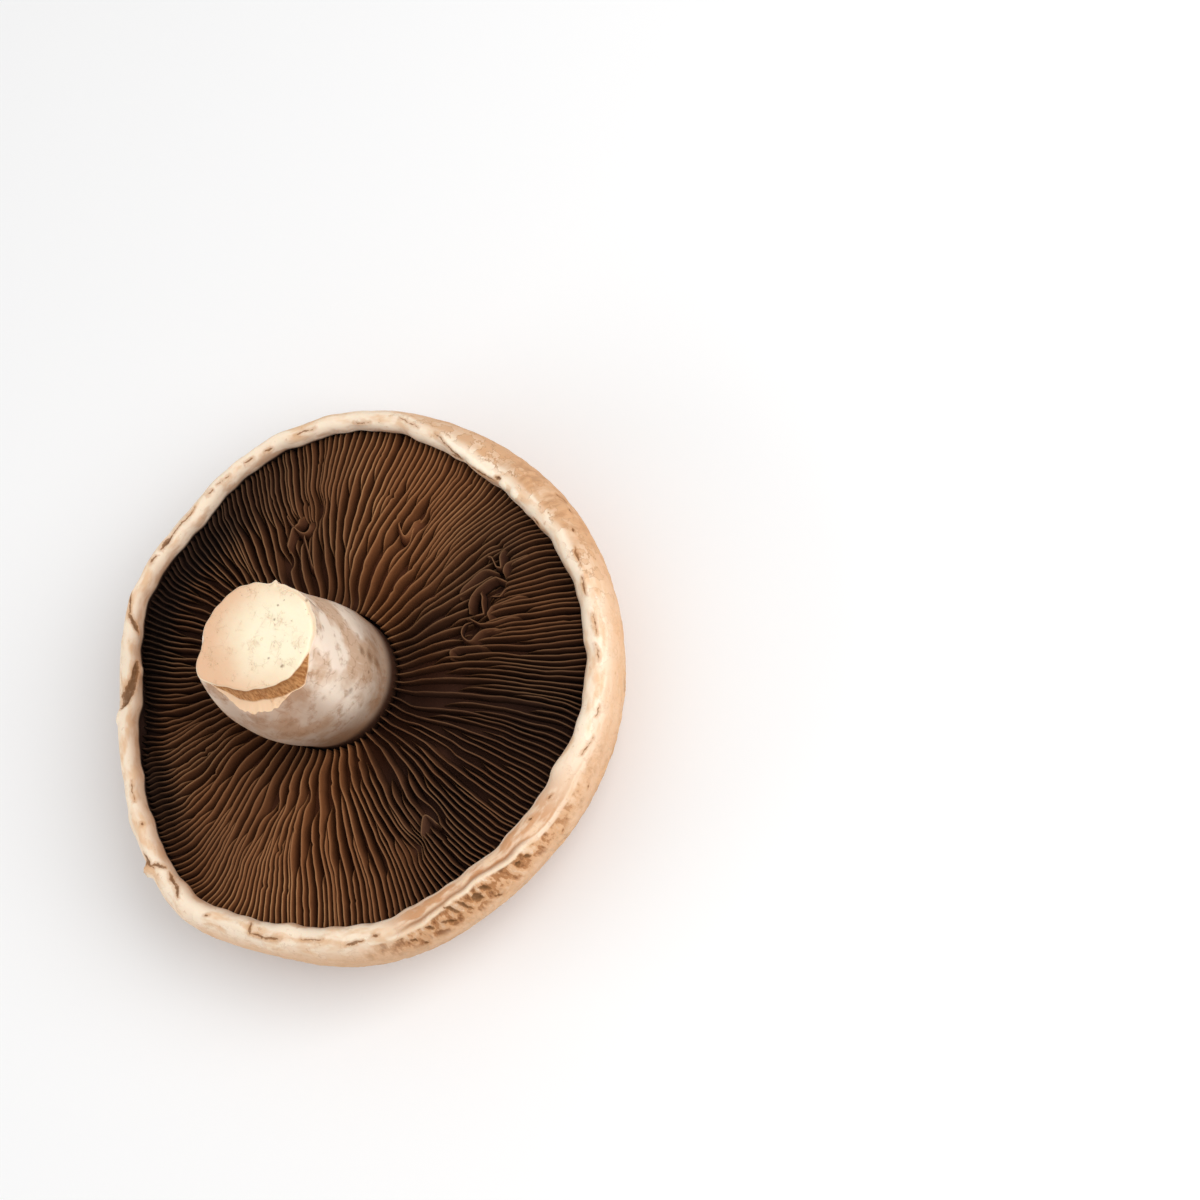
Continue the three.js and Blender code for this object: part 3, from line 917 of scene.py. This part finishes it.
# %% Folded gills
def folded_gills(graph, entry):
    """Gills that fold over, each along a path of its own, which gives its lean as the radius."""
    blades, along, side, up = blank_blades(graph, entry.out("Folds"), FOLD_STEPS)
    paths = graph.add("GeometryNodeObjectInfo", {"Object": entry.out("Fold paths")}, "Geometry")
    sample = graph.add(
        "GeometryNodeSampleCurve",
        {
            "Curves": paths, "Factor": along, "Curve Index": named(graph, "blade"),
            "Value": graph.add("GeometryNodeInputRadius"),
        },
        "Position", mode="FACTOR", data_type="FLOAT",
    )
    aside = graph.vector("NORMALIZE", graph.vector("CROSS_PRODUCT", sample.out("Tangent"), (0, 0, 1)))
    ends = graph.step(along, 0, 0.14) * graph.step(along, 1, 0.86)
    down = (1 - up) * FOLD_DEPTH
    thick = side * entry.out("Thickness") * 0.5 * (EDGE_SHARE + (1 - up) * 0.4)
    move = graph.scaled(aside, (down * sample.out("Value") + thick) * MM)
    drop = (down + (1 - ends) * 1.6) * -MM
    place = graph.vector("ADD", sample, graph.vector("ADD", move, graph.join(0, 0, drop)))
    # Squared, so that the painted highlight is only on the very edge of a folded gill, and its walls take
    # painted shade.
    return place_blades(graph, blades, up ** 2, place)


# %% What lowers the blades and pushes them aside
def marks_at(graph, x, y):
    """(how far pits and trench lower a blade, and how far pits push it in x and in y), in mm."""
    sink, push_x, push_y = 0.0, 0.0, 0.0
    for pit_x, pit_y, radius, depth, aside in PITS:
        off_x, off_y = x - pit_x, y - pit_y
        near = graph.math("EXPONENT", (off_x * off_x + off_y * off_y) * (-1 / radius ** 2))
        sink = sink + near * depth
        push_x = push_x + off_x * near * (aside / radius)
        push_y = push_y + off_y * near * (aside / radius)
    trench = Vector(TRENCH_TO) - Vector(TRENCH_FROM)
    length = trench.length
    dir_x, dir_y = trench / length
    off_x, off_y = x - TRENCH_FROM[0], y - TRENCH_FROM[1]
    run = off_x * dir_x + off_y * dir_y
    off_line = off_y * dir_x - off_x * dir_y
    on_run = graph.step(run, -1.5, 2) * graph.step(run, length + 1.5, length - 2)
    return sink + graph.bell(off_line, TRENCH_WIDTH) * on_run * TRENCH_DEPTH, push_x, push_y


# %% One set of blades
# About how far from the axis the blades start, and how long they are, in mm.
ROOT_REACH, BLADE_LENGTH = 15.7, 39.5
# How far neighbours sway together, in mm: in long waves and in short ones.
LONG_SWAY, SHORT_SWAY = 7, 0.8
# How far each blade wanders by itself, leans where it starts, and hooks at its end.
WANDER, LEAN, HOOK = 0.6, 0.7, 0.8
# Round this angle all blades bend back together, most at the lip.
BENT_TURN, BENT_WIDTH, BEND = 154, 0.45, 10
# How uneven the blades' edges are: along a blade, from place to place, and where one is chipped.
NICK, UNEVEN, CHIP = 0.8, 1.6, 1.4
# The blades' feet stand this far above the bowl.
FOOT_HEIGHT = 1.2


def blade_set(graph, entry, count, steps, is_short):
    """Blades all round the cap. Short ones stand between the others and start further out."""
    seed = entry.out("Seed")
    blades, along, side, up = blank_blades(graph, count, steps)
    number = named(graph, "blade")

    def chance(low, high, salt):
        """A random number that stays the same all over one blade."""
        return graph.add(
            "FunctionNodeRandomValue",
            {"Min": low, "Max": high, "ID": number, "Seed": seed + salt}, 1, data_type="FLOAT",
        )

    # Where the blade starts and stands. Every second blade of the first set starts at the stem.
    odd = graph.math("FLOORED_MODULO", number, 2)
    if is_short:
        start = chance(0.28, 0.72, 3)
        turn_number = number + 0.5
    else:
        start = odd * chance(0.04, 0.3, 4)
        turn_number = number
    turn = (turn_number + chance(-0.13, 0.13, 5)) * (2 * math.pi) / count
    share = start + along * (1 - start)
    reach = ROOT_REACH + share * BLADE_LENGTH

    # Neighbours sway together: noise in round coordinates, so that it has no seam.
    def sway(radial_mm, tangential, salt, detail=1):
        where = graph.join(
            graph.math("COSINE", turn) * tangential, graph.math("SINE", turn) * tangential,
            reach / radial_mm,
        )
        lumps = graph.add(
            "ShaderNodeTexNoise", {"Vector": where, "W": seed + salt, "Scale": 1.0, "Detail": detail},
            noise_dimensions="4D",
        )
        return lumps - 0.5

    def own_noise(size_mm, apart, row, salt, detail=1):
        """Noise along each blade, unlike that of its neighbours."""
        where = graph.join(reach / size_mm, number * apart, row)
        return graph.add(
            "ShaderNodeTexNoise", {"Vector": where, "W": seed + salt, "Scale": 1.0, "Detail": detail},
            noise_dimensions="4D",
        )

    out_from_stem = graph.step(share, 0, 0.16)
    shift = sway(24, 1.9, 1.3) * LONG_SWAY * out_from_stem
    shift = shift + sway(7, 7, 7.7, detail=2) * SHORT_SWAY * out_from_stem
    shift = shift + (own_noise(5, 7.13, 0.0, 0.5) - 0.5) * WANDER
    # A short blade leans against a neighbour where it starts.
    shift = shift + chance(-1, 1, 9) * graph.step(along, 0.3, 0) * (1 if is_short else odd) * LEAN
    # Blades end in small hooks under the lip.
    hook = graph.math("SINE", turn * 3 + 0.6) + graph.math("SINE", turn * 7 + 2.1) * 0.6
    shift = shift + hook * graph.step(share, 0.88, 1.0) * HOOK
    bent = graph.bell(turn - math.radians(BENT_TURN), BENT_WIDTH)
    shift = shift - bent * graph.step(share, 0.72, 1.28) * BEND

    turned = turn + shift / reach
    factor = graph.math("FRACT", turned / (2 * math.pi) + 1)

    def on_ring(name):
        ring = graph.add("GeometryNodeObjectInfo", {"Object": entry.out(name)}, "Geometry")
        return graph.add(
            "GeometryNodeSampleCurve", {"Curves": ring, "Factor": factor}, "Position", mode="FACTOR"
        )

    root, margin = on_ring("Root ring"), on_ring("Margin ring")
    path = graph.vector("SUBTRACT", margin, root)
    plan = graph.vector("ADD", root, graph.scaled(path, share))
    x, y, _ = graph.split(plan)
    x, y = x / MM - AXIS.x / MM, y / MM - AXIS.y / MM

    sink, push_x, push_y = marks_at(graph, x, y)

    # Heights: the same envelope as the solid's, with each blade a little different.
    shaded = graph.step(graph.math("COSINE", turn - math.radians(SHADED_TURN)), -0.3, 0.8) * 1.3 + 0.1
    dips = graph.step(share, 0.3, 0) * DIP_AT_STEM + graph.step(share, 0.72, 1) * DIP_AT_MARGIN * shaded
    sag = graph.math("SINE", turn * 3 + 1.1) * graph.math("SINE", share * math.pi) * GILL_SAG
    nick = own_noise(2.6, 3.7, 5.0, 0, detail=2)
    edge = GILL_CREST - dips + sag + chance(-0.5, 0.1, 11) + (nick - 0.5) * NICK
    edge = edge + sway(12, 5, 20.2) * UNEVEN
    # Here and there a blade is chipped.
    edge = edge - graph.step(own_noise(2.1, 5.3, 9.0, 0), 0.62, 0.82) * CHIP
    # A blade that starts on its way out rises from its foot there.
    if is_short:
        begins = graph.step(along, -0.06, 0.34)
    else:
        begins = graph.step(along, -0.04, 0.25) * odd + (1 - odd)
    floor = FLESH_CENTRE + (share ** BOWL_CURVE) * (FLESH_EDGE - FLESH_CENTRE) + FOOT_HEIGHT
    depth_here = edge - sink - floor
    rise = up ** 0.45 * (begins * 0.55 + 0.45)
    height = floor + depth_here * rise

    # The blade is a wedge: wide at its foot, and thin at its edge.
    thickness = entry.out("Thickness") * (EDGE_SHARE + (1 - up) ** 1.35 * (1 - EDGE_SHARE))
    half = side * thickness * 0.5 * (begins * 0.8 + 0.2)
    across_x = graph.math("SINE", turned) * -1
    across_y = graph.math("COSINE", turned)
    lift = graph.step(up, 0.1, 0.9)
    final = graph.join(
        (x + push_x * lift + across_x * half) * MM + AXIS.x,
        (y + push_y * lift + across_y * half) * MM + AXIS.y,
        height * MM,
    )
    return place_blades(graph, blades, up, final)


# %% [markdown]
# The finish of the gills
#
# Ripe gills are chocolate brown and matt. Their thin edges are paler than their sides, partly their
# own colour and partly a painted highlight, and painted shade darkens the sides towards their feet,
# so that the gaps between them are nearly black. The number stored on each point, 0 at the foot and
# 1 at the edge, gives that, with a slow change of tone from place to place.

# %% Gill material
# Painted shade darkens the gills most at this angle and opposite it.
GILL_SHADE_TURN = 104
# They are also darker in patches: (angle, half width in degrees, how dark).
DARK_GILL_PATCHES = [(48, 20, 0.45), (165, 18, 0.35), (235, 24, 0.45), (287, 18, 0.35), (338, 22, 0.5)]


def gill_material():
    material, graph = new_material("gill_brown")
    place = graph.add("ShaderNodeTexCoord", output="Object")
    up = graph.add("ShaderNodeAttribute", output="Fac", attribute_name="up")
    blade = graph.add("ShaderNodeAttribute", output="Fac", attribute_name="blade")
    broad = graph.noise(place, 16, detail=2)
    fine = graph.noise(place, 1.2, detail=3, rough=0.6)
    tone = graph.math("FRACT", blade * 0.618)
    # Painted shade darkens each side towards its foot; the edge is paler, partly its own colour and partly
    # a painted highlight.
    side = graph.blend(colour(95, 51, 26), colour(125, 76, 41), graph.step(up, 0.0, 1.0))
    edge = graph.blend(colour(156, 106, 66), colour(181, 131, 86), graph.step(broad, 0.4, 0.62))
    base = graph.blend(side, edge, graph.step(up, 0.9, 1.0) * (0.65 + tone * 0.3))
    base = graph.blend(base, colour(64, 34, 18), graph.step(fine, 0.5, 0.8) * 0.3)
    # Painted shade darkens them on two opposite sides, and they are darker in patches.
    turn = degrees_round(graph, place)
    sides = graph.math("COSINE", (turn - GILL_SHADE_TURN) * (math.pi / 90))
    painted_gill_shade = graph.step(sides + (broad - 0.5) * 2, -0.9, 1.1)
    base = graph.blend(base, colour(26, 12, 8), painted_gill_shade * 0.6)
    for centre, half_width, darkness in DARK_GILL_PATCHES:
        apart = graph.math("FLOORED_MODULO", turn - (centre - 180), 360) - 180
        darker_patch = graph.bell(apart, half_width) * (broad + 0.5) * darkness
        base = graph.blend(base, colour(26, 12, 8), darker_patch)
    x, y, _ = graph.split(graph.scaled(graph.vector("SUBTRACT", place, AXIS), 1 / MM))
    reach = graph.math("SQRT", x * x + y * y)
    # A painted shadow of the lip darkens the gills' ends round SHADED_TURN.
    ends = graph.step(facing(graph, turn, SHADED_TURN), 0.45, 0.85)
    ends = ends * graph.step(reach + (broad - 0.5) * 6, 42, 51)
    base = graph.blend(base, colour(20, 10, 7), ends * 0.75)
    close_material(graph, base, 0.78, fine, 0.35, 0.2, subsurface=0.0)
    return material


# %% Growing the gills
# Every set has twice this many blades.
LONG_GILLS = 60
GILL_THICKNESS = 1.3
GILL_SEED = 7


def fold_paths():
    """One curve object with a smooth path for each folded gill; it only guides, and is removed."""
    curve = bpy.data.curves.new("fold_paths", "CURVE")
    curve.dimensions = "3D"
    for lean, *path in FOLDS:
        spline = curve.splines.new("NURBS")
        spline.points.add(len(path) - 1)
        for point, (x, y) in zip(spline.points, path):
            point.co = (*(Vector((x, y, GILL_CREST - 0.2)) * MM + AXIS), 1)
            point.radius = lean
        spline.use_endpoint_u = True
        # Upright gills fold in sharp corners, and leaning ones in round bends.
        spline.order_u = 2 if lean < 0.25 else 3
        spline.resolution_u = 8
    guide = bpy.data.objects.new("fold_paths", curve)
    bpy.context.scene.collection.objects.link(guide)
    return guide


folds = fold_paths()
tree, gill_sockets = gill_tree(gill_material())
apply_nodes(gills, tree, {
    gill_sockets["Root ring"]: root_ring,
    gill_sockets["Margin ring"]: margin_ring,
    gill_sockets["Fold paths"]: folds,
    gill_sockets["Folds"]: len(FOLDS),
    gill_sockets["Long gills"]: LONG_GILLS,
    gill_sockets["Thickness"]: GILL_THICKNESS,
    gill_sockets["Seed"]: GILL_SEED,
})
for guide in (root_ring, margin_ring, folds):
    bpy.data.objects.remove(guide)
print("gill triangles:", sum(len(p.vertices) - 2 for p in gills.data.polygons))

# %% [markdown]
# The stem
#
# The stem is stout and leans a little. The knife left a raised, slightly domed face, and on one side
# the outer flesh tore off lower down, which left a ledge with a fibrous wall above it. The surface
# is made of rows again, with close rows at the edges to keep them crisp.

# %% Stem surface
STEM_COLUMNS = 300
CUT_X, CUT_Y = -0.6, 7.6
CUT_HEIGHT = 55
CUT_RADIUS = 12.1
CUT_DOME = 0.2
# The cut's outline, wider on one side, with a pointed scrap of skin: (angle, half width, mm).
CUT_SWELLS = [
    (147, 19, 3.0), (105, 16, 0.9), (214, 26, -1.2), (312, 26, 0.5), (8, 22, -1.1), (14, 2.5, 0.8),
    (118, 3, -0.4),
]
# The torn wall under the cut, and the shelf at its foot, which ends sooner.
WALL_FROM, WALL_FULL, WALL_ENDS, WALL_GONE = 158, 186, 254, 282
WALL_DROP = 4.3
WALL_SLOPE = 1.2
SHELF_FROM, SHELF_FULL, SHELF_ENDS, SHELF_GONE = 158, 200, 213, 240
SHELF_WIDTH = 2.6
# Heights, with the middle and the radius there.
TRUNK = [
    (14.05, -1.0, 7.5, 14.4), (19, -1.0, 7.5, 15.0), (25, -1.6, 7.5, 15.4), (32, -2.5, 7.4, 15.9),
    (39, -3.3, 7.4, 15.9), (45, -3.6, 7.4, 15.4), (49, -3.3, 7.5, 14.8), (55, -2.4, 7.6, 13.6),
]
TRUNK_ROWS, END_ROWS, FACE_ROWS = 96, 10, 26


def smooth_track(table, column, heights):
    """A value of the trunk's table at in-between heights, along a smooth curve."""
    known = np.array([row[0] for row in table])
    values = np.array([row[column] for row in table])
    slopes = np.gradient(values, known)
    place = np.clip(np.searchsorted(known, heights, side="right") - 1, 0, len(known) - 2)
    span = known[place + 1] - known[place]
    t = (heights - known[place]) / span
    a, b = values[place], values[place + 1]
    sa, sb = slopes[place] * span, slopes[place + 1] * span
    return (
        a * (2 * t ** 3 - 3 * t ** 2 + 1) + b * (3 * t ** 2 - 2 * t ** 3)
        + sa * (t ** 3 - 2 * t ** 2 + t) + sb * (t ** 3 - t ** 2)
    )


def stem_rows():
    turn = np.linspace(0, 2 * math.pi, STEM_COLUMNS, endpoint=False)
    degrees = np.degrees(turn)
    uneven_cut = waves(turn, (13, 0.08, 1.0), (22, 0.07, 0.0), (5, 0.12, 2.0))
    face = swell(CUT_RADIUS, CUT_SWELLS, turn) + uneven_cut
    ramp = np.clip((WALL_GONE - degrees) / (WALL_GONE - WALL_ENDS), 0, 1)
    wall = smooth(degrees, WALL_FROM, WALL_FULL) * ramp
    shelf = smooth(degrees, SHELF_FROM, SHELF_FULL) * (1 - smooth(degrees, SHELF_ENDS, SHELF_GONE))
    ragged = waves(turn, (31, 0.12, 0.0), (47, 0.1, 1.0), (73, 0.07, 2.0)) * shelf
    # On the far side the skin stands out beyond the cut as a thin pale edge.
    far = (degrees + 100) % 360
    rim = smooth(far, 15, 45) * (1 - smooth(far, 112, 124))

    def on_cut(reach, drop):
        return polar(CUT_X, CUT_Y, face + reach, turn, CUT_HEIGHT - drop)

    # Corners of the cut end: (reach beyond the face, drop below it), each at every angle.
    skin_drop = 0.45 + WALL_DROP * wall + 0.5 * shelf + ragged
    skin = on_cut(0.25 + 0.75 * rim + WALL_SLOPE * wall + SHELF_WIDTH * shelf + ragged, skin_drop)
    foot = on_cut(0.15 + 0.15 * rim + WALL_SLOPE * wall, 0.3 + 0.1 * rim + WALL_DROP * wall)
    top = on_cut(0 * wall, 0.1 + 0 * wall)
    rows, zone = [], []
    for share in np.linspace(0, 1, TRUNK_ROWS):
        height = mix(TRUNK[0][0], CUT_HEIGHT - skin_drop, share)
        x, y, radius = (smooth_track(TRUNK, k, height) for k in (1, 2, 3))
        uneven = 0.35 * np.sin(3 * turn + 0.05 * height) + 0.25 * np.sin(5 * turn + 1.3)
        radius = radius + uneven * smooth(height, 20, 26)
        rows.append(mix(polar(x, y, radius, turn, height), skin, float(smooth(share, 0.66, 1)) ** 1.5))
        zone.append(0.0)
    corners = [skin, foot, top]
    for part, (low, high) in enumerate(zip(corners, corners[1:])):
        for step in range(1, END_ROWS + 1):
            share = step / END_ROWS
            rows.append(mix(low, high, share))
            zone.append(1 + part + share)
    for step in range(1, FACE_ROWS):
        share = 1 - step / FACE_ROWS
        height = CUT_HEIGHT + CUT_DOME * (1 - share ** 2)
        rows.append(polar(CUT_X, CUT_Y, face * share, turn, height))
        zone.append(3 + 1 - share)
    return np.array(rows), np.array(zone)


stem_points, stem_zone = stem_rows()
stem = closed_surface("mushroom_stem", stem_points)
zone_values = np.repeat(stem_zone, STEM_COLUMNS)
keep_value(stem, "zone", np.concatenate([zone_values, [0.0, 4.0]]))
print("stem faces:", len(stem.data.polygons))

# %% [markdown]
# The finish of the stem
#
# The stem's skin is pale and a little mauve, with soft brown bruises and faint lengthwise fibres. The
# cut is creamy in the middle and pinkish tan towards its edge. The torn wall is orange-brown, with
# fibres that run down it. The stored zone tells the material which of these it is on.

# %% Stem material
# Small marks on the stem: (x, y, height, radius in mm).
SPOTS = [
    (8.0, -2.9, 50.8, 0.7), (4.3, -6.8, 32.4, 0.55), (7.6, -4.4, 34.9, 1.7), (7.3, -4.8, 31.5, 2.2),
    (6.9, -5.0, 28.1, 1.8), (11.6, 2.2, 51.9, 0.5), (11.2, 1.2, 50.2, 0.5), (10.7, 0.3, 48.3, 0.5),
    (10.9, 1.6, 54.6, 0.6), (-3.4, -1.2, 55.1, 0.55), (-3.3, 2.5, 55.1, 0.4), (7.3, 6.8, 55.1, 0.4),
    (4.3, 5.9, 55.1, 0.4), (-5.0, -6.9, 44.5, 1.0), (-1.0, -8.0, 37.7, 1.2), (-12.8, -3.3, 44.9, 1.4),
]
# Thin cracks in its skin: (start, end, half width), in mm.
STEM_CRACKS = [
    ((11.5, 2.8, 53.2), (11.6, 2.2, 51.9), 0.3), ((11.6, 2.2, 51.9), (11.2, 1.0, 49.8), 0.45),
]


def stem_material():
    material, graph = new_material("stem_flesh")
    place = graph.add("ShaderNodeTexCoord", output="Object")
    zone = graph.add("ShaderNodeAttribute", output="Fac", attribute_name="zone")
    x, y, z = graph.split(place)
    broad = graph.noise(place, 9, detail=3, rough=0.55)
    spots = graph.noise(place, 3.2, detail=4, rough=0.6)
    grain = graph.noise(place, 0.8, detail=3, rough=0.6)
    stretched = graph.vector("MULTIPLY", place, (1, 1, 0.12))
    fibres = graph.noise(stretched, 0.5, detail=3, rough=0.6)
    # The skin: pale and a little mauve, with tan bruises and fine wrinkles, and darker below.
    skin = graph.blend(colour(246, 227, 208), colour(212, 178, 150), graph.step(broad, 0.42, 0.6))
    skin = graph.blend(skin, colour(170, 128, 94), graph.step(spots, 0.52, 0.66) * 0.55)
    skin = graph.blend(skin, colour(246, 232, 216), graph.step(fibres, 0.52, 0.75) * 0.3)
    bent = graph.vector("ADD", place, graph.scaled(graph.add(
        "ShaderNodeTexNoise", {"Vector": place, "Scale": 1 / (4 * MM), "Detail": 2}, "Color"
    ), 3 * MM))
    wrinkle = graph.bell(graph.noise(bent, 4.5, detail=2) - 0.5, 0.012)
    skin = graph.blend(skin, colour(176, 134, 104), wrinkle * graph.step(broad, 0.4, 0.56) * 0.6)
    # Painted shade darkens the side that faces away from the light. The foot is browner, partly its
    # own colour and partly painted shade.
    turn = degrees_round(graph, place)
    low = graph.step(turn, 252, 214) * graph.step(turn, 120, 160)
    skin = graph.blend(skin, colour(140, 98, 68), low * 0.62)
    foot = graph.step(z + (spots - 0.5) * 8 * MM, 38 * MM, 23 * MM)
    skin = graph.blend(skin, colour(148, 108, 78), foot * 0.75)
    # Painted shade where the stem meets the gills.
    skin = graph.blend(skin, colour(70, 42, 28), graph.step(z, 24.5 * MM, 20.5 * MM))
    # The cut: creamy in the middle, pinkish towards the edge, with tiny cracks and specks.
    off_x, off_y = x / MM - (CUT_X + 3.5), y / MM - (CUT_Y - 4.5)
    from_middle = graph.math("SQRT", off_x * off_x + off_y * off_y)
    heart = graph.step(from_middle + (broad - 0.5) * 8, 17, 5)
    cut = graph.blend(colour(232, 190, 154), colour(255, 242, 212), heart)
    cells = graph.add(
        "ShaderNodeTexVoronoi",
        {"Vector": place, "Scale": 1 / (2.6 * MM), "Randomness": 1.0}, "Distance",
        feature="DISTANCE_TO_EDGE",
    )
    crack = graph.step(cells + (grain - 0.5) * 0.2, 0.04, -0.02) * graph.step(spots, 0.46, 0.58)
    hairs = graph.bell(graph.noise(place, 1.8, detail=2) - 0.5, 0.016) * graph.step(spots, 0.5, 0.6)
    crack = graph.math("MAXIMUM", crack, hairs)
    cut = graph.blend(cut, colour(206, 164, 124), crack * 0.4)
    cut = graph.blend(cut, colour(228, 188, 150), graph.step(spots, 0.5, 0.72) * 0.3)
    cut = graph.blend(cut, colour(150, 116, 84), graph.step(grain + spots * 0.35, 0.84, 0.92) * 0.45)
    wall = graph.blend(colour(156, 98, 50), colour(206, 150, 96), graph.step(fibres, 0.34, 0.66))
    # Painted shadow on the upper part of the torn wall, under the edge of the cut.
    wall = graph.blend(wall, colour(142, 86, 40), graph.step(zone, 2.4, 2.95) * 0.5)
    wall = graph.blend(colour(248, 224, 192), wall, graph.step(z, 54.75 * MM, 54.3 * MM))
    ledge = graph.blend(colour(240, 206, 170), colour(206, 160, 118), graph.step(spots, 0.54, 0.66) * 0.7)
    ledge = graph.blend(colour(244, 220, 190), ledge, graph.step(z, 54.45 * MM, 54.0 * MM))
    base = graph.blend(skin, ledge, graph.step(zone, 0.9, 1.1))
    base = graph.blend(base, wall, graph.step(zone, 1.9, 2.1))
    base = graph.blend(base, cut, graph.step(zone, 2.92, 3.0))
    for spot_x, spot_y, spot_z, radius in SPOTS:
        middle = Vector((spot_x, spot_y, spot_z)) * MM + AXIS
        gap = graph.vector("DISTANCE", place, middle, output="Value")
        dark = graph.step(gap + (grain - 0.5) * MM, radius * MM, 0)
        base = graph.blend(base, colour(128, 88, 54), dark * 0.7)
    spot = graph.scaled(graph.vector("SUBTRACT", place, AXIS), 1 / MM)
    for start, end, half_width in STEM_CRACKS:
        gap = gap_to_stroke(graph, spot, start, end)[0] + (grain - 0.5) * 0.5
        base = graph.blend(base, colour(92, 62, 42), graph.step(gap, half_width + 0.3, half_width) * 0.8)
    height = spots * 0.4 + grain * 0.35 + fibres * 0.3 - crack * 0.5
    close_material(graph, base, 0.6, height, 0.4, 0.35, subsurface=0.18)
    return material


stem.data.materials.append(stem_material())

# %% [markdown]
# Joining the pieces to the model
#
# Each piece stands for a plain solid of the model and rides on its body, and the plain solid is
# hidden.

# %% Ride and replace
for piece, node, slot in [
    (cap, "cap", "cap_flesh"), (gills, "gills", "gill_tissue"), (stem, "stem", "stem_flesh"),
]:
    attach(piece, "root")
    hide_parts(node)

# %% [markdown]
# Floor, light and camera
#
# The mushroom lies on a plain pale floor, in the soft light of a studio: one large light from the
# right of the picture, a weaker and lower one from its left, and white all round. The camera looks
# down on it at 60 degrees and is rolled, so that the stem points to the upper left of the picture.

# %% Floor
FLOOR_SIZE = 6.0
bpy.ops.mesh.primitive_plane_add(size=FLOOR_SIZE)
floor = bpy.context.object
floor.name = "floor"
floor_material, graph = new_material("floor_white")
shader = graph.add("ShaderNodeBsdfPrincipled", {"Base Color": (0.94, 0.94, 0.94, 1), "Roughness": 0.9})
graph.add("ShaderNodeOutputMaterial", {"Surface": shader})
floor.data.materials.append(floor_material)

# %% Camera
LENS, SENSOR = 100.0, 36.0
PICTURE = 1200
ELEVATION, ROLL = math.radians(60), math.radians(61)
MM_PER_PIXEL = 0.215
# Where the point on the cap's axis at the height of the gills shows in the picture.
AIM_PIXEL = (347.5, 683.5)
AIM_HEIGHT = 26.0

back = Vector((0, -math.cos(ELEVATION), math.sin(ELEVATION)))
level_up = Vector((0, math.sin(ELEVATION), math.cos(ELEVATION)))
level_right = Vector((1, 0, 0))
right = level_right * math.cos(ROLL) - level_up * math.sin(ROLL)
up = level_right * math.sin(ROLL) + level_up * math.cos(ROLL)
turned = Matrix((right, up, back)).transposed()
from_middle = [(pixel - PICTURE / 2) * SENSOR / PICTURE for pixel in AIM_PIXEL]
to_aim = Vector((from_middle[0], -from_middle[1], -LENS)).normalized()
off_centre = Vector((0, 0, -1)).rotation_difference(to_aim).to_matrix()
distance = MM_PER_PIXEL * PICTURE * LENS / SENSOR * MM

camera = bpy.data.objects.new("camera", bpy.data.cameras.new("camera"))
camera.data.lens = LENS
camera.data.sensor_width = SENSOR
camera.data.clip_start = 0.01
aim = AXIS + Vector((0, 0, AIM_HEIGHT * MM))
pose = turned @ off_centre.transposed()
camera.matrix_world = Matrix.Translation(aim + back * distance) @ pose.to_4x4()
bpy.context.scene.collection.objects.link(camera)
bpy.context.scene.camera = camera
print("camera at, mm:", [round(v / MM) for v in camera.location])

# %% Light
def area_light(name, direction, away, size, power):
    """A square soft light that shines on the mushroom from a direction."""
    light = bpy.data.lights.new(name, "AREA")
    light.size = size
    light.energy = power
    lamp = bpy.data.objects.new(name, light)
    lamp.location = aim + direction.normalized() * away
    lamp.rotation_mode = "QUATERNION"
    lamp.rotation_quaternion = direction.to_track_quat("Z", "Y")
    bpy.context.scene.collection.objects.link(lamp)


def from_side(turn, height):
    """A direction towards a light at an angle round the mushroom and above the floor, in degrees."""
    turn, height = math.radians(turn), math.radians(height)
    return Vector((math.cos(turn) * math.cos(height), math.sin(turn) * math.cos(height), math.sin(height)))


# Each light: (name, angle round the mushroom and height in degrees, size in metres, power).
LIGHTS = [("key", 300, 45, 0.7, 5.9), ("edge", 135, 15, 0.6, 2.6)]
LIGHT_AWAY = 0.9
WORLD_STRENGTH = 0.55
for name, turn, height, size, power in LIGHTS:
    area_light(name, from_side(turn, height), LIGHT_AWAY, size, power)
print("lights:", len(LIGHTS))
world = bpy.data.worlds.new("white_room")
bpy.context.scene.world = world
world.use_nodes = True
world.node_tree.nodes["Background"].inputs["Color"].default_value = (1, 1, 1, 1)
world.node_tree.nodes["Background"].inputs["Strength"].default_value = WORLD_STRENGTH
bpy.context.scene.view_settings.view_transform = "Standard"
